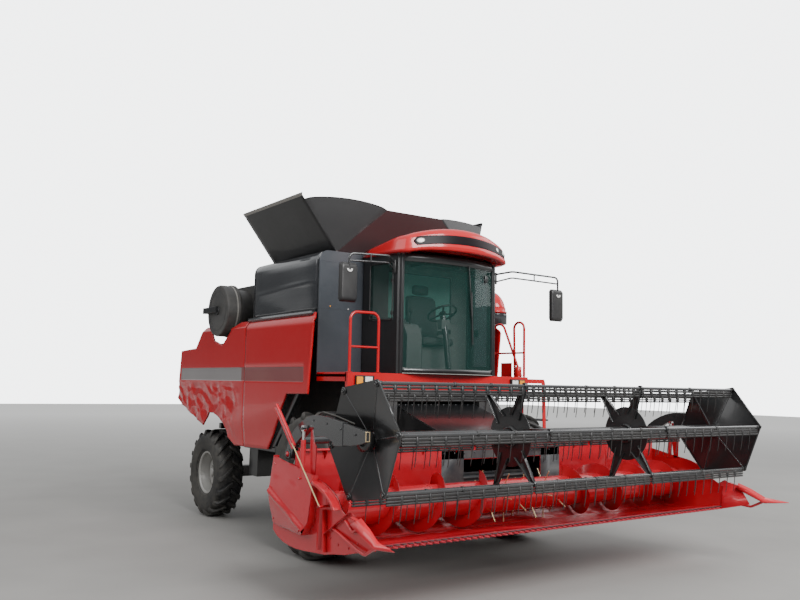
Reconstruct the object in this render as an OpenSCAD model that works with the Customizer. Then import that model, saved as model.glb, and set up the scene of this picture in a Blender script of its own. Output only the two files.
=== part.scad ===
// Combine harvester with a reel header, at full size in millimetres.
// X runs forward, Y to the machine's left and Z up. The origin is on the ground, halfway along the machine.

/* [Wheels] */
// Distance of the front axle ahead of the origin
front_axle_x = 665; // [600:5:760]
// Distance from the front axle back to the rear axle
wheelbase = 3460; // [3300:10:3600]
// Outer diameter of a front tyre over its lugs
front_tyre_d = 1700; // [1640:10:1720]
// Width of a front tyre
front_tyre_w = 600; // [540:10:620]
// Distance between the centres of the front tyres
front_track = 2900; // [2880:10:2960]
// Diameter of a front rim at the bead
front_rim_d = 762; // [700:2:800]
// Outer diameter of a rear tyre over its lugs
rear_tyre_d = 1300; // [1260:10:1330]
// Width of a rear tyre
rear_tyre_w = 400; // [360:10:420]
// Distance between the centres of the rear tyres
rear_track = 2654; // [2600:2:2700]
// Diameter of a rear rim at the bead
rear_rim_d = 610; // [560:2:640]
// Height of the tread lugs
lug_h = 44; // [30:1:50]
// Number of lugs on each half of a tread
lug_count = 18; // [14:1:20]

/* [Body] */
// Distance between the outer faces of the side panels
panel_span = 3100; // [3000:10:3160]
// Thickness of a side panel
panel_t = 30; // [20:1:40]
// Height of the top edge of the side panels
panel_top_z = 2910; // [2860:10:2940]
// Distance between the outer faces of the grain tank
tank_w = 2880; // [2800:10:2960]
// Height of the grain tank's rim
tank_top_z = 3700; // [3600:10:3760]
// Thickness of the tank's walls
tank_wall = 25; // [15:1:35]
// Length of a side leaf of the tank extension, up its slope
side_leaf_l = 880; // [800:10:900]
// Length of a front or rear leaf of the tank extension, up its slope
end_leaf_l = 640; // [560:10:680]
// Thickness of the extension's leaves
leaf_t = 8; // [6:1:12]
// Outer diameter of the rotary air screen
screen_d = 770; // [700:10:780]
// Width of the rotary air screen
screen_w = 220; // [180:10:240]

/* [Cab] */
// Width of the platform in front of the body
platform_w = 2880; // [2800:10:2920]
// Height of the platform's top
platform_z = 2170; // [2140:5:2200]
// Height of the platform's red front beam
beam_h = 240; // [200:5:260]
// Distance of the cab's centre plane left of the machine's
cab_y = 60; // [0:5:80]
// Width of the cab at its front pillars
cab_w = 1600; // [1560:10:1640]
// Height of the roof's underside
cab_top_z = 3650; // [3600:10:3680]
// Thickness of the cab's pillars and walls
cab_wall = 60; // [50:1:70]
// Thickness of the glass
glass_t = 8; // [6:1:10]

/* [Header] */
// Outer width between the header's side sheets
header_w = 5366; // [5200:2:5400]
// Thickness of the header's sheets
sheet_t = 14; // [10:1:18]
// Distance of the knife ahead of the origin
knife_x = 3219; // [3190:1:3240]
// Height of the knife
knife_z = 646; // [630:1:660]
// Distance of the auger's axis ahead of the origin
auger_x = 2535; // [2525:1:2545]
// Height of the auger's axis
auger_z = 865; // [855:1:875]
// Outer diameter of the auger's flights
auger_d = 570; // [540:5:580]
// Diameter of the auger's tube
auger_tube_d = 340; // [300:5:360]
// Distance of the reel's axis ahead of the origin
reel_x = 3267; // [3255:1:3290]
// Height of the reel's axis
reel_z = 1550; // [1540:1:1570]
// Radius of the circle on which the bats turn
reel_r = 534; // [500:1:540]
// Gap from the header's outer face in to the reel's end
reel_gap = 90; // [85:1:120]
// Distance between neighbouring tines
tine_pitch = 150; // [140:1:170]
// Drop of the tine tips below their bat's axis
tine_drop = 270; // [220:1:275]
// Distance of the dividers' tips ahead of the origin
divider_tip_x = 4035; // [3990:5:4060]

/* [Hidden] */
$fn = 48;

// Colours
red = "#b5191c";
deep_red = "#8e1517";
black = "#1c1d20";
grey = "#3a3c40";
silver = "#b9bbbd";
rubber = "#202124";
glass = "#3d5a55";
tan_rod = "#c9a36a";

// Clearances: between faces that nearly touch, and round an open pin
seat = 0.3;
pin_play = 6.5;

// Wheel places
rear_axle_x = front_axle_x - wheelbase;
front_r = front_tyre_d / 2;
rear_r = rear_tyre_d / 2;
front_y = front_track / 2;
rear_y = rear_track / 2;
spindle_r = 60;
rear_spindle_r = 40;
kingpin_y = 1000;
kingpin_r = 35;
knuckle_h = 300;
bead_share = 0.36;
rim_flange = 20;

// Body places
panel_y = panel_span / 2;
panel_in = panel_y - panel_t;
panel_split_x = -1435;
panel_gap = 8;
body_front_x = 425;
tank_rear_x = -1455;
tank_floor_z = 2930;
tank_in_y = 1150;
body_z = 1290;
body_top_z = 2560;
body_half = 900;
rail_in = 680;
rail_w = 90;
hitch_pin_r = 16;
engine_deck_z = 2600;
screen_x = -2295;
screen_y = -1400;
screen_z = 3085;
unloader_gap = 200;
unloader = [260, tank_w / 2 + unloader_gap, 3300];
unloader_r = 150;
unloader_foot_z = 3100;

// Cab places: plan outline, doorway and the door's hinges
cab_rear_x = body_front_x + 20;
cab_front_x = 1120;
cab_half = cab_w / 2;
cab_rear_half = cab_half + 60;
cab_bow = 150;
cab_floor_t = 55;
door_z0 = platform_z + 60;
door_z1 = cab_top_z - 90;
door_play = 6;
hinge_r = 12;
hinge_pin_r = 6;
hinge_h = 40;
hinge_z = [door_z0 + 250, door_z1 - 290];
door_hinge = [cab_front_x - 73, cab_y + cab_half + 19];

// Header lift: pivot on the feeder's upper shaft, pins of the lift cylinders
feeder_pivot = [865, 1600];
feeder_w = 1300;
feeder_shaft_r = 60;
lift_base = [860, 560];
lift_eye = [1650, 920];
lift_y = 720;
lift_pin_r = 18;

// Reel lift: pivot of the arms, pins of their cylinders
arm_pivot = [2115, 1350];
arm_w = 60;
reel_base = [2465, 1160];
reel_eye = [2475, 1615];
reel_pin_r = 12;
header_y = header_w / 2;
header_in = header_y - sheet_t;
arm_y = header_y - 23;
reel_cyl_y = header_y + 39;
reel_l = header_w - 2 * reel_gap;
auger_shaft_r = 35;
flight_steps = 20;
bat_phase = 8;
bat_r = 17;
spider_y = [-reel_l / 6, reel_l / 6];
shield_y = reel_l / 2;
floor_z = auger_z - auger_d / 2 - 20;
back_x = auger_x - auger_d / 2 - 20;

// Extrudes a side profile, drawn as X and Z, from y0 to y1
module slab(points, y0, y1) {
    translate([0, y1, 0]) rotate([90, 0, 0]) linear_extrude(y1 - y0) polygon(points);
}

// A round bar across the machine, at X and Z, from y0 to y1
module cross_bar(x, z, y0, y1, r) {
    translate([x, y1, z]) rotate([90, 0, 0]) cylinder(h = y1 - y0, r = r);
}

// A round bar between two points
module bar(a, b, r) {
    d = b - a;
    l = norm(d);
    translate(a) rotate([0, acos(d[2] / l), atan2(d[1], d[0])]) cylinder(h = l, r = r);
}

// A round bar along a row of points, with a ball at each bend
module bent_bar(points, r) {
    for (i = [0 : len(points) - 2]) bar(points[i], points[i + 1], r);
    for (i = [1 : len(points) - 2]) translate(points[i]) sphere(r = r * 1.08);
}

// A block from one corner to the opposite one
module block(a, b) {
    translate(a) cube(b - a);
}

module both_sides() {
    children();
    mirror([0, 1, 0]) children();
}

// A wheel's parts are drawn round the Y axis with the outer side towards +Y
module on_axle(x, y, z, side) {
    translate([x, side * y, z]) mirror([0, side < 0 ? 1 : 0, 0]) rotate([-90, 0, 0]) children();
}

// Half sections of a tyre: radius and place across the tread
function tyre_section(r, w, bead_r) = [
    [bead_r, -w * bead_share], [bead_r + rim_flange + 4, -w * bead_share], [bead_r + 44, -w * 0.47], [r * 0.72, -w / 2], [r - lug_h - 60, -w * 0.49],
    [r - lug_h - 12, -w * 0.42], [r - lug_h, -w * 0.2], [r - lug_h, w * 0.2],
    [r - lug_h - 12, w * 0.42], [r - lug_h - 60, w * 0.49], [r * 0.72, w / 2],
    [bead_r + 44, w * 0.47], [bead_r + rim_flange + 4, w * bead_share], [bead_r, w * bead_share]];

function lug_envelope(r, w) = [
    [r - lug_h - 20, -w * 0.5], [r - 60, -w * 0.5], [r - 12, -w * 0.45], [r, -w * 0.3],
    [r, w * 0.3], [r - 12, w * 0.45], [r - 60, w * 0.5], [r - lug_h - 20, w * 0.5]];

module tyre(d, w, rim_d) {
    r = d / 2;
    bead_r = rim_d / 2 + seat;
    color(rubber) union() {
        rotate_extrude() polygon(tyre_section(r, w, bead_r));
        intersection() {
            rotate_extrude() polygon(lug_envelope(r, w));
            for (half = [-1, 1], i = [0 : lug_count - 1])
                rotate([0, 0, (i + (half > 0 ? 0.5 : 0)) * 360 / lug_count])
                    translate([r - lug_h - 10, 0, half * w * 0.26])
                        rotate([half * 42, 0, 0])
                            translate([0, -32, -w * 0.34]) cube([lug_h + 20, 64, w * 0.68]);
        }
    }
}

// Rim with a dished disc: dish is the disc's place from the tyre's centre plane
module rim(d, w, dish, hub_r, bore_r, hub_from) {
    r = d / 2;
    bead = w * bead_share + seat;
    color(silver) union() {
        rotate_extrude() polygon([
            [r - 16, -bead - 12], [r + rim_flange, -bead - 12], [r + rim_flange, -bead], [r, -bead],
            [r, bead], [r + rim_flange, bead], [r + rim_flange, bead + 12], [r - 16, bead + 12]]);
        difference() {
            rotate_extrude() polygon([
                [bore_r, hub_from], [hub_r, hub_from], [hub_r, dish - 12], [r * 0.6, dish - 12],
                [r - 10, dish - 60], [r - 10, dish - 40], [r * 0.6, dish + 8], [bore_r, dish + 8]]);
            for (a = [0 : 45 : 315]) rotate([0, 0, a]) translate([r * 0.75, 0, dish - 80])
                cylinder(h = 120, r = 28);
        }
    }
}

module front_tyre(side) {
    on_axle(front_axle_x, front_y, front_r, side) tyre(front_tyre_d, front_tyre_w, front_rim_d);
}

module front_rim(side) {
    on_axle(front_axle_x, front_y, front_r, side)
        rim(front_rim_d, front_tyre_w, -60, 150, spindle_r + seat, -180);
}

module rear_tyre(side) {
    on_axle(rear_axle_x, rear_y, rear_r, side) tyre(rear_tyre_d, rear_tyre_w, rear_rim_d);
}

module rear_rim(side) {
    on_axle(rear_axle_x, rear_y, rear_r, side)
        rim(rear_rim_d, rear_tyre_w, 20, 90, rear_spindle_r + seat, -90);
}

// Beam between the final drives, each with the spindle of its wheel, and ears for the lift cylinders
module front_axle() {
    hub_in = front_y - 190;
    color(black) union() {
        block([front_axle_x - 110, -950, front_r - 120], [front_axle_x + 110, 950, front_r + 130]);
        both_sides() {
            cross_bar(front_axle_x, front_r, 930, hub_in, 190);
            cross_bar(front_axle_x, front_r, hub_in - 1, front_y - 30, spindle_r);
            for (y = [lift_y - 80, lift_y + 50]) difference() {
                slab([[front_axle_x, 740], [front_axle_x + 110, 740], [lift_base[0] + 45, lift_base[1] + 20],
                    [lift_base[0] + 20, lift_base[1] - 40], [lift_base[0] - 30, lift_base[1] - 40]], y, y + 30);
                cross_bar(lift_base[0], lift_base[1], y - 1, y + 31, lift_pin_r + seat);
            }
            cross_bar(lift_base[0], lift_base[1], lift_y - 90, lift_y + 90, lift_pin_r);
        }
    }
}

// Steered rear axle: a beam that hangs on a centre pin, with an eye for each kingpin
module rear_axle() {
    color(black) union() {
        difference() {
            union() {
                block([rear_axle_x - 80, -kingpin_y, rear_r - 80], [rear_axle_x + 80, kingpin_y, rear_r + 80]);
                both_sides() translate([rear_axle_x, kingpin_y, rear_r - 80]) cylinder(h = 160, r = 80);
            }
            both_sides() translate([rear_axle_x, kingpin_y, rear_r - 90])
                cylinder(h = 180, r = kingpin_r + seat);
        }
        slab([[rear_axle_x - 60, rear_r + 70], [rear_axle_x + 60, rear_r + 70],
            [rear_axle_x + 120, 1130], [rear_axle_x - 120, 1130]], -200, 200);
    }
}

// Knuckle: a fork round the axle's eye, the kingpin and the wheel's spindle
module knuckle(side) {
    spindle_end = rear_y + 20;
    color(black) translate([rear_axle_x, side * kingpin_y, rear_r]) mirror([0, side < 0 ? 1 : 0, 0]) union() {
        translate([0, 0, -knuckle_h / 2]) cylinder(h = knuckle_h, r = kingpin_r);
        for (z = [-knuckle_h / 2, knuckle_h / 2 - 40]) translate([0, 0, z]) {
            cylinder(h = 40, r = 65);
            translate([-65, 0, 0]) cube([130, 160, 40]);
        }
        translate([-65, 110, -knuckle_h / 2]) cube([130, 50, knuckle_h]);
        translate([0, 155, 0]) rotate([-90, 0, 0])
            cylinder(h = spindle_end - kingpin_y - 155, r = rear_spindle_r);
    }
}

module right_knuckle() knuckle(-1);
module left_knuckle() knuckle(1);
module right_front_tyre() front_tyre(-1);
module left_front_tyre() front_tyre(1);
module right_front_rim() front_rim(-1);
module left_front_rim() front_rim(1);
module right_rear_tyre() rear_tyre(-1);
module left_rear_tyre() rear_tyre(1);
module right_rear_rim() rear_rim(-1);
module left_rear_rim() rear_rim(1);

// Two long rails under the body, with posts that carry it and the rear axle's bridge
module chassis_frame() {
    hitch_x = -3420;
    color(black) difference() {
        union() {
            both_sides() {
                slab([[-3300, body_z - seat], [-3300, 1150], [300, 1030], [1050, 1030], [1050, body_z - seat]],
                    rail_in, rail_in + rail_w);
                block([front_axle_x - 130, rail_in, front_r + 130 + seat], [front_axle_x + 130, rail_in + rail_w, 1040]);
            }
            for (x = [-3260, rear_axle_x, -1500, -300, front_axle_x])
                block([x - 60, -rail_in - 1, 1160], [x + 60, rail_in + 1, 1260]);
            block([rear_axle_x - 120, -rail_in - 1, 1130 + seat], [rear_axle_x + 120, rail_in + 1, 1240]);
            for (z = [1165, 1225]) block([hitch_x - 40, -60, z], [-3310, 60, z + 25]);
        }
        translate([hitch_x, 0, 1100]) cylinder(h = 200, r = hitch_pin_r);
    }
}

// Closed threshing and cleaning body between the rails and the tank
module separator_body() {
    y = feeder_w / 2;
    deck_under = platform_z - 60 - seat;
    color(grey) difference() {
        slab([[-3250, body_z], [1050, body_z], [1050, deck_under], [body_front_x - tank_wall - seat, deck_under],
            [body_front_x - tank_wall - seat, body_top_z], [-3240, body_top_z], [-3275, 2520 - seat],
            [-3560, 2505 - seat], [-3600, 1700]], -body_half, body_half);
        block([620, -y - 8, 1200], [1100, y + 8, 1850]);
        cross_bar(feeder_pivot[0], feeder_pivot[1], -y - 61, y + 61, feeder_shaft_r + seat);
    }
}

front_panel_outline = [[395, 1900], [-155, 1890], [-705, 1150], [panel_split_x, 1135],
    [panel_split_x, panel_top_z - 20], [415, panel_top_z], [495, 2830]];
rear_panel_low = [[panel_split_x - panel_gap, 1135], [-1745, 1130], [-1965, 1230], [-2125, 1430], [-2475, 1560],
    [-2675, 1560], [-2885, 1360], [-3775, 1640], [-4015, 1740], [-4035, 1760], [-3985, 1880], [-3905, 2520]];
right_panel_top = [[-3275, 2550], [-3055, 2780], [-2935, 2870], [-2695, 2830], [-2560, 2650], [-2245, 2570],
    [-1945, 2770], [-1945, 2800], [-1705, panel_top_z - 20], [panel_split_x - panel_gap, panel_top_z - 20]];
left_panel_top = [[-3275, 2550], [-3055, 2780], [-2935, 2870], [-1705, panel_top_z - 20],
    [panel_split_x - panel_gap, panel_top_z - 20]];

module right_side_panel() {
    color(red) slab(front_panel_outline, -panel_y, -panel_in);
}

module left_side_panel() {
    color(red) slab(front_panel_outline, panel_in, panel_y);
}

// Rear side panels and the hood that joins them across the back
module rear_hood() {
    color(red) union() {
        slab(concat(rear_panel_low, right_panel_top), -panel_y, -panel_in);
        slab(concat(rear_panel_low, left_panel_top), panel_in, panel_y);
        slab([[-3905, 2520], [-3985, 1880], [-4035, 1760], [-4005, 1760], [-3955, 1880], [-3880, 2490],
            [-3560, 2505], [-3275, 2520], [-3275, 2550]], -panel_in - 1, panel_in + 1);
    }
}

// Hollow grain tank, open at the top, with the bulkhead in front of it
module grain_tank() {
    y = tank_w / 2;
    round_r = 130;
    tank_foot = body_top_z + seat;
    color(black) union() {
        difference() {
            rotate([90, 0, 90]) translate([0, 0, tank_rear_x]) linear_extrude(body_front_x - tank_rear_x)
                union() {
                    polygon([[-y, tank_floor_z], [-700, tank_foot], [700, tank_foot], [y, tank_floor_z],
                        [y, tank_top_z - round_r], [y - round_r, tank_top_z],
                        [-y + round_r, tank_top_z], [-y, tank_top_z - round_r]]);
                    for (s = [-1, 1]) translate([s * (y - round_r), tank_top_z - round_r])
                        circle(r = round_r);
                }
            rotate([90, 0, 90]) translate([0, 0, tank_rear_x + tank_wall])
                linear_extrude(body_front_x - tank_rear_x - 2 * tank_wall)
                    polygon([[-y + tank_wall, tank_floor_z + 15], [-690, tank_foot + tank_wall],
                        [690, tank_foot + tank_wall], [y - tank_wall, tank_floor_z + 15],
                        [y - tank_wall, tank_top_z - round_r], [y - round_r, tank_top_z - tank_wall],
                        [-y + round_r, tank_top_z - tank_wall], [-y + tank_wall, tank_top_z - round_r]]);
            block([tank_rear_x + 100, -tank_in_y, tank_top_z - 60], [body_front_x - 60, tank_in_y, tank_top_z + 10]);
        }
        block([body_front_x - tank_wall, -y, 2140], [body_front_x, y, tank_floor_z + 20]);
        // rails that carry the side panels' hinges
        both_sides() block([panel_split_x, y - 110, panel_top_z - 40], [body_front_x - 30, panel_in - seat, tank_floor_z - 5]);
        // foot of the unloading tube
        block([unloader[0] - 120, y - 10, 2945], [unloader[0] + 120, unloader[1], 3095]);
        translate([unloader[0], unloader[1], 2945]) cylinder(h = unloader_foot_z - 2945, r = unloader_r + 20);
    }
}

// Four leaves that stand round the tank's mouth, leaning out, with a web in each corner
module tank_extension() {
    side_lean = 38;
    end_lean = 25;
    x0 = tank_rear_x + 90;
    x1 = body_front_x - 90;
    z = tank_top_z + seat + leaf_t * sin(side_lean);
    side_dy = side_leaf_l * sin(side_lean);
    side_dz = side_leaf_l * cos(side_lean);
    end_dx = end_leaf_l * sin(end_lean);
    end_dz = end_leaf_l * cos(end_lean);
    color(black) union() {
        both_sides() translate([x0, tank_in_y, z]) rotate([-side_lean, 0, 0])
            cube([x1 - x0, leaf_t, side_leaf_l]);
        for (s = [-1, 1]) translate([s > 0 ? x1 : x0, 0, z]) mirror([s < 0 ? 1 : 0, 0, 0])
            rotate([0, end_lean, 0]) rotate([90, 0, 90]) linear_extrude(leaf_t)
                polygon([[-tank_in_y - 4, 0], [tank_in_y + 4, 0], [600, end_leaf_l], [-600, end_leaf_l]]);
        for (sx = [0, 1], sy = [-1, 1]) hull() {
            corner = [sx ? x1 : x0, sy * tank_in_y, z];
            dx = sx ? 1 : -1;
            for (p = [corner, corner + [0, sy * side_dy, side_dz],
                corner + [dx * end_dx, sy * (600 - tank_in_y), end_dz]])
                translate(p + [0, 0, 3]) cube(leaf_t, center = true);
        }
    }
}

// Engine block on the deck behind the tank, radiator box and exhaust
module engine() {
    color(grey) union() {
        block([-3230, -panel_in + seat, body_top_z + seat], [-1480, panel_in - seat, engine_deck_z]);
        block([-2700, -1200, engine_deck_z - 1], [-1890, -700, 3480]);
        block([-2600, -701, engine_deck_z - 1], [-1900, 700, 3350]);
        translate([-2950, 300, engine_deck_z - 1]) cylinder(h = 500, r = 110);
        translate([-2950, 300, engine_deck_z + 480]) cylinder(h = 620, r = 55);
        cross_bar(screen_x, screen_z, screen_y - screen_w + 20, -1190, 60);
        cross_bar(screen_x, screen_z, screen_y + 10, -1190, screen_d / 2 - 40);
    }
}

// Rotary screen that cleans the radiator's air, with its rim band
module screen_drum() {
    color(black) translate([screen_x, screen_y, screen_z]) rotate([90, 0, 0]) difference() {
        union() {
            cylinder(h = screen_w, r = screen_d / 2);
            cylinder(h = 40, r = screen_d / 2 + 12);
        }
        translate([0, 0, -1]) cylinder(h = screen_w - 30, r = screen_d / 2 - 30);
        translate([0, 0, -1]) cylinder(h = screen_w + 2, r = 60 + seat);
    }
}

// Deck in front of the tank with a red beam round it and the marker lamps
module platform() {
    y = platform_w / 2;
    x1 = 1151;
    color(red) union() {
        block([body_front_x + seat, -y, platform_z - 60], [x1 - 40, y, platform_z - 20]);
        difference() {
            block([x1 - 60, -y, platform_z - beam_h], [x1, y, platform_z]);
            both_sides() translate([x1 - 61, y - 90, platform_z - beam_h]) difference() {
                cube([62, 91, 90]);
                translate([0, 0, 90]) rotate([0, 90, 0]) cylinder(h = 62, r = 90);
            }
        }
        both_sides() {
            block([body_front_x + seat, y - 40, platform_z - 110], [x1 - 30, y, platform_z]);
            translate([x1 - 1, y - 330, platform_z - 160]) cube([50, 220, 120]);
        }
    }
}

// Plan outline of the cab, rear first, with a bowed front
module cab_plan(inset) {
    bow_r = (pow(cab_half, 2) + pow(cab_bow, 2)) / (2 * cab_bow);
    union() {
        polygon([[cab_rear_x + inset, -cab_rear_half + inset], [cab_front_x, -cab_half + inset],
            [cab_front_x, cab_half - inset], [cab_rear_x + inset, cab_rear_half - inset]]);
        intersection() {
            translate([cab_front_x + cab_bow - bow_r, 0]) circle(r = bow_r - inset);
            translate([cab_front_x - 1, -cab_half + inset]) square([cab_bow + 10, cab_w - 2 * inset]);
        }
    }
}

module cab_frame() {
    z0 = platform_z + seat;
    color(black) union() {
        translate([0, cab_y, 0]) difference() {
        translate([0, 0, z0]) linear_extrude(cab_top_z - z0) cab_plan(0);
        translate([0, 0, z0 + cab_floor_t]) linear_extrude(cab_top_z - z0) cab_plan(cab_wall);
        // windscreen
        translate([cab_front_x - 20, -cab_half + 70, platform_z + 60])
            cube([300, cab_w - 140, cab_top_z - platform_z - 130]);
        // right side window
        translate([cab_rear_x + 130, -cab_rear_half - 10, 2830])
            cube([cab_front_x - cab_rear_x - 200, 200, cab_top_z - 2830 - 90]);
        // rear window
        translate([cab_rear_x - 10, -520, 2900]) cube([200, 1040, 600]);
        // doorway
        translate([cab_rear_x + 130, cab_half - 70, door_z0])
            cube([cab_front_x - cab_rear_x - 200, 200, door_z1 - door_z0]);
        }
        for (z = hinge_z) translate([door_hinge[0], door_hinge[1], z]) {
            cylinder(h = hinge_h, r = hinge_pin_r);
            for (dz = [-24, hinge_h + seat]) translate([0, 0, dz]) {
                cylinder(h = 24 - seat, r = hinge_r);
                translate([3, -hinge_r - 6, 0]) cube([50, hinge_r + 6, 24 - seat]);
            }
        }
    }
}

module cab_glass() {
    color(glass) translate([0, cab_y, 0]) {
        // windscreen
        translate([0, 0, platform_z + 60 + seat]) intersection() {
            linear_extrude(cab_top_z - platform_z - 130 - 2 * seat) difference() {
                cab_plan(10);
                cab_plan(10 + glass_t);
            }
            translate([cab_front_x - 20 + seat, -cab_half + 70 + seat, -10])
                cube([300, cab_w - 140 - 2 * seat, 3000]);
        }
        // right side window
        translate([0, 0, 2830 + seat]) intersection() {
            linear_extrude(cab_top_z - 2830 - 90 - 2 * seat) difference() {
                cab_plan(10);
                cab_plan(10 + glass_t);
            }
            translate([cab_rear_x + 130 + seat, -cab_rear_half - 10, -10])
                cube([cab_front_x - cab_rear_x - 200 - 2 * seat, 200, 3000]);
        }
        // rear window
        translate([cab_rear_x + 10, -520 + seat, 2900 + seat]) cube([glass_t, 1040 - 2 * seat, 600 - 2 * seat]);
    }
}

// Door on the left, hinged at its front edge

module door_slab(inset, t0, t1) {
    intersection() {
        linear_extrude(4000) difference() {
            cab_plan(t0);
            cab_plan(t1);
        }
        translate([cab_rear_x + 130 + door_play + inset, cab_half - 70 + 1, door_z0 + door_play + inset])
            cube([cab_front_x - cab_rear_x - 200 - 2 * door_play - 2 * inset, 200,
                door_z1 - door_z0 - 2 * door_play - 2 * inset]);
    }
}

module cab_door() {
    color(black) union() {
        translate([0, cab_y, 0]) difference() {
            door_slab(0, 0, 40);
            door_slab(60, -1, 60);
        }
        for (z = hinge_z) translate([door_hinge[0], door_hinge[1], z]) difference() {
            union() {
                translate([0, 0, seat]) cylinder(h = hinge_h - seat, r = hinge_r);
                translate([-60, -hinge_r - 5, seat]) cube([60, hinge_r + 5, hinge_h - seat]);
            }
            cylinder(h = hinge_h + 1, r = hinge_pin_r + seat);
        }
    }
}

module door_glass() {
    color(glass) translate([0, cab_y, 0]) door_slab(60 + seat, 12, 12 + glass_t);
}

// Roof with a bowed visor that carries the lamps
module cab_roof() {
    z = cab_top_z + seat;
    color(red) translate([0, cab_y, 0]) union() {
        difference() {
            union() {
                translate([0, 0, z]) linear_extrude(60) offset(delta = 60) cab_plan(0);
                translate([0, 0, z + 59]) linear_extrude(120) offset(delta = 20) cab_plan(0);
            }
            block([body_front_x - 100, -2000, z - 1], [body_front_x + 5, 2000, z + 300]);
        }
        translate([0, 0, z + 178]) linear_extrude(60) cab_plan(120);
        difference() {
            translate([0, 0, z]) linear_extrude(190) intersection() {
                translate([-250, 0]) circle(r = 1760);
                translate([cab_front_x, -cab_half - 40]) square([600, cab_w + 80]);
            }
            translate([0, 0, z - 1]) linear_extrude(40) intersection() {
                translate([-250, 0]) circle(r = 1720);
                translate([cab_front_x + cab_bow + 70, -cab_half]) square([600, cab_w]);
            }
        }
    }
}

// Seat on its box, the console and the steering column
module cab_interior() {
    z = platform_z + cab_floor_t + 2 * seat;
    color(grey) translate([0, cab_y, 0]) union() {
        block([560, -220, z], [860, 220, z + 380]);
        block([540, -250, z + 379], [920, 250, z + 500]);
        hull() {
            block([520, -240, z + 480], [600, 240, z + 500]);
            block([480, -200, z + 1080], [540, 200, z + 1100]);
        }
        block([560, -520, z], [1000, -290, z + 620]);
        block([1070, -60, z], [1180, 60, z + 40]);
        bar([1125, 0, z + 30], [1010, 0, z + 700], 40);
        translate([1010, 0, z + 700]) rotate([0, -10, 0]) rotate_extrude() translate([190, 0]) circle(r = 14);
        translate([1010, 0, z + 700]) rotate([0, -10, 0]) for (a = [90, 210, 330]) rotate([0, 0, a])
            rotate([0, 90, 0]) cylinder(h = 190, r = 12);
    }
}

// Hoop on the right of the platform, rails by the ladder on its left, and the ladder
module handrails() {
    r = 17;
    x = 1115;
    z0 = platform_z + seat;
    edge = platform_w / 2 + seat;
    ladder_x = 610;
    ladder_w = 450;
    ladder_y = front_y + front_tyre_w / 2 + 90;
    rail_y = platform_w / 2 - 40;
    color(red) union() {
        bent_bar([[x, -rail_y, z0], [x, -rail_y, 2860], [x, 400 - rail_y, 2880], [x, 400 - rail_y, z0]], r);
        bar([x, -rail_y, 2470], [x, 400 - rail_y, 2470], r - 4);
        for (dx = [0, 430]) {
            bent_bar([[x - dx, rail_y, z0], [x - dx, rail_y, 2900], [x - dx - 200, rail_y, 2920],
                [x - dx - 200, rail_y, z0]], r);
        }
        // ladder outside the wheel, with its landing
        for (lx = [ladder_x, ladder_x + ladder_w - 12])
            rotate([90, 0, 90]) translate([0, 0, lx]) linear_extrude(12)
                polygon([[edge, platform_z - 25], [ladder_y, platform_z - 25], [ladder_y + 20, platform_z - 70],
                    [ladder_y + 60, 640], [ladder_y + 10, 640], [ladder_y - 40, platform_z - 85],
                    [edge, platform_z - 85]]);
        block([ladder_x + 11, edge, platform_z - 60], [ladder_x + ladder_w - 11, ladder_y + 5, platform_z - 50]);
        for (k = [0 : 4]) translate([ladder_x + 11, ladder_y - 45 + 8 * k, 1860 - 290 * k])
            cube([ladder_w - 22, 130, 25]);
    }
}

module mirrors() {
    color(black) union() {
        for (s = [-1, 1]) translate([0, cab_y, 0]) mirror([0, s < 0 ? 1 : 0, 0])
            block([1060, cab_half + 5.5 + seat, 3400], [1110, cab_half + 40, 3560]);
        bent_bar([[1085, cab_y - cab_half - 25, 3530], [1280, -1000, 3560], [1250, -1500, 3540], [1220, -1500, 3400]], 14);
        bent_bar([[1085, cab_y - cab_half - 25, 3430], [1270, -1000, 3480], [1235, -1500, 3460]], 12);
        block([1150, -1580, 2980], [1220, -1400, 3450]);
        bent_bar([[1085, cab_y + cab_half + 25, 3530], [1320, 1000, 3580], [1340, 1820, 3560], [1340, 1820, 3380]], 14);
        bent_bar([[1085, cab_y + cab_half + 25, 3430], [1320, 1000, 3500], [1340, 1820, 3480]], 12);
        block([1310, 1730, 2940], [1380, 1910, 3390]);
    }
}

// Unloading tube folded back along the left side, with the elbow it turns on
module unloader_tube() {
    color(red) union() {
        bar(unloader + [40, 0, 0], unloader + [-3900, 0, 150], unloader_r);
        translate([unloader[0], unloader[1], unloader_foot_z + seat])
            cylinder(h = unloader[2] - unloader_foot_z + 20, r = unloader_r + 20);
        bar(unloader + [-3880, 0, 150], unloader + [-4050, 0, -40], unloader_r - 10);
    }
}

module feeder_house() {
    y = feeder_w / 2;
    color(black) union() {
        difference() {
            slab([[2180, 590], [2180, 1270], [2130, 1290], [1900, 1480], [950, 1790], [800, 1760], [730, 1600], [800, 1400],
                [1000, 1080]], -y, y);
            slab([[2190, 640], [2190, 1230], [1880, 1430], [1100, 1700], [1100, 1110]], -y + 40, y - 40);
        }
        cross_bar(feeder_pivot[0], feeder_pivot[1], -y - 60, y + 60, feeder_shaft_r);
        difference() {
            block([2160, -870, 570], [back_x - sheet_t - seat, 870, 1290]);
            block([2150, -y + 60, 640], [back_x + 10, y - 60, 1230]);
        }
        both_sides() cross_bar(lift_eye[0], lift_eye[1], y - 5, lift_y + 60, lift_pin_r);
    }
}

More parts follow.
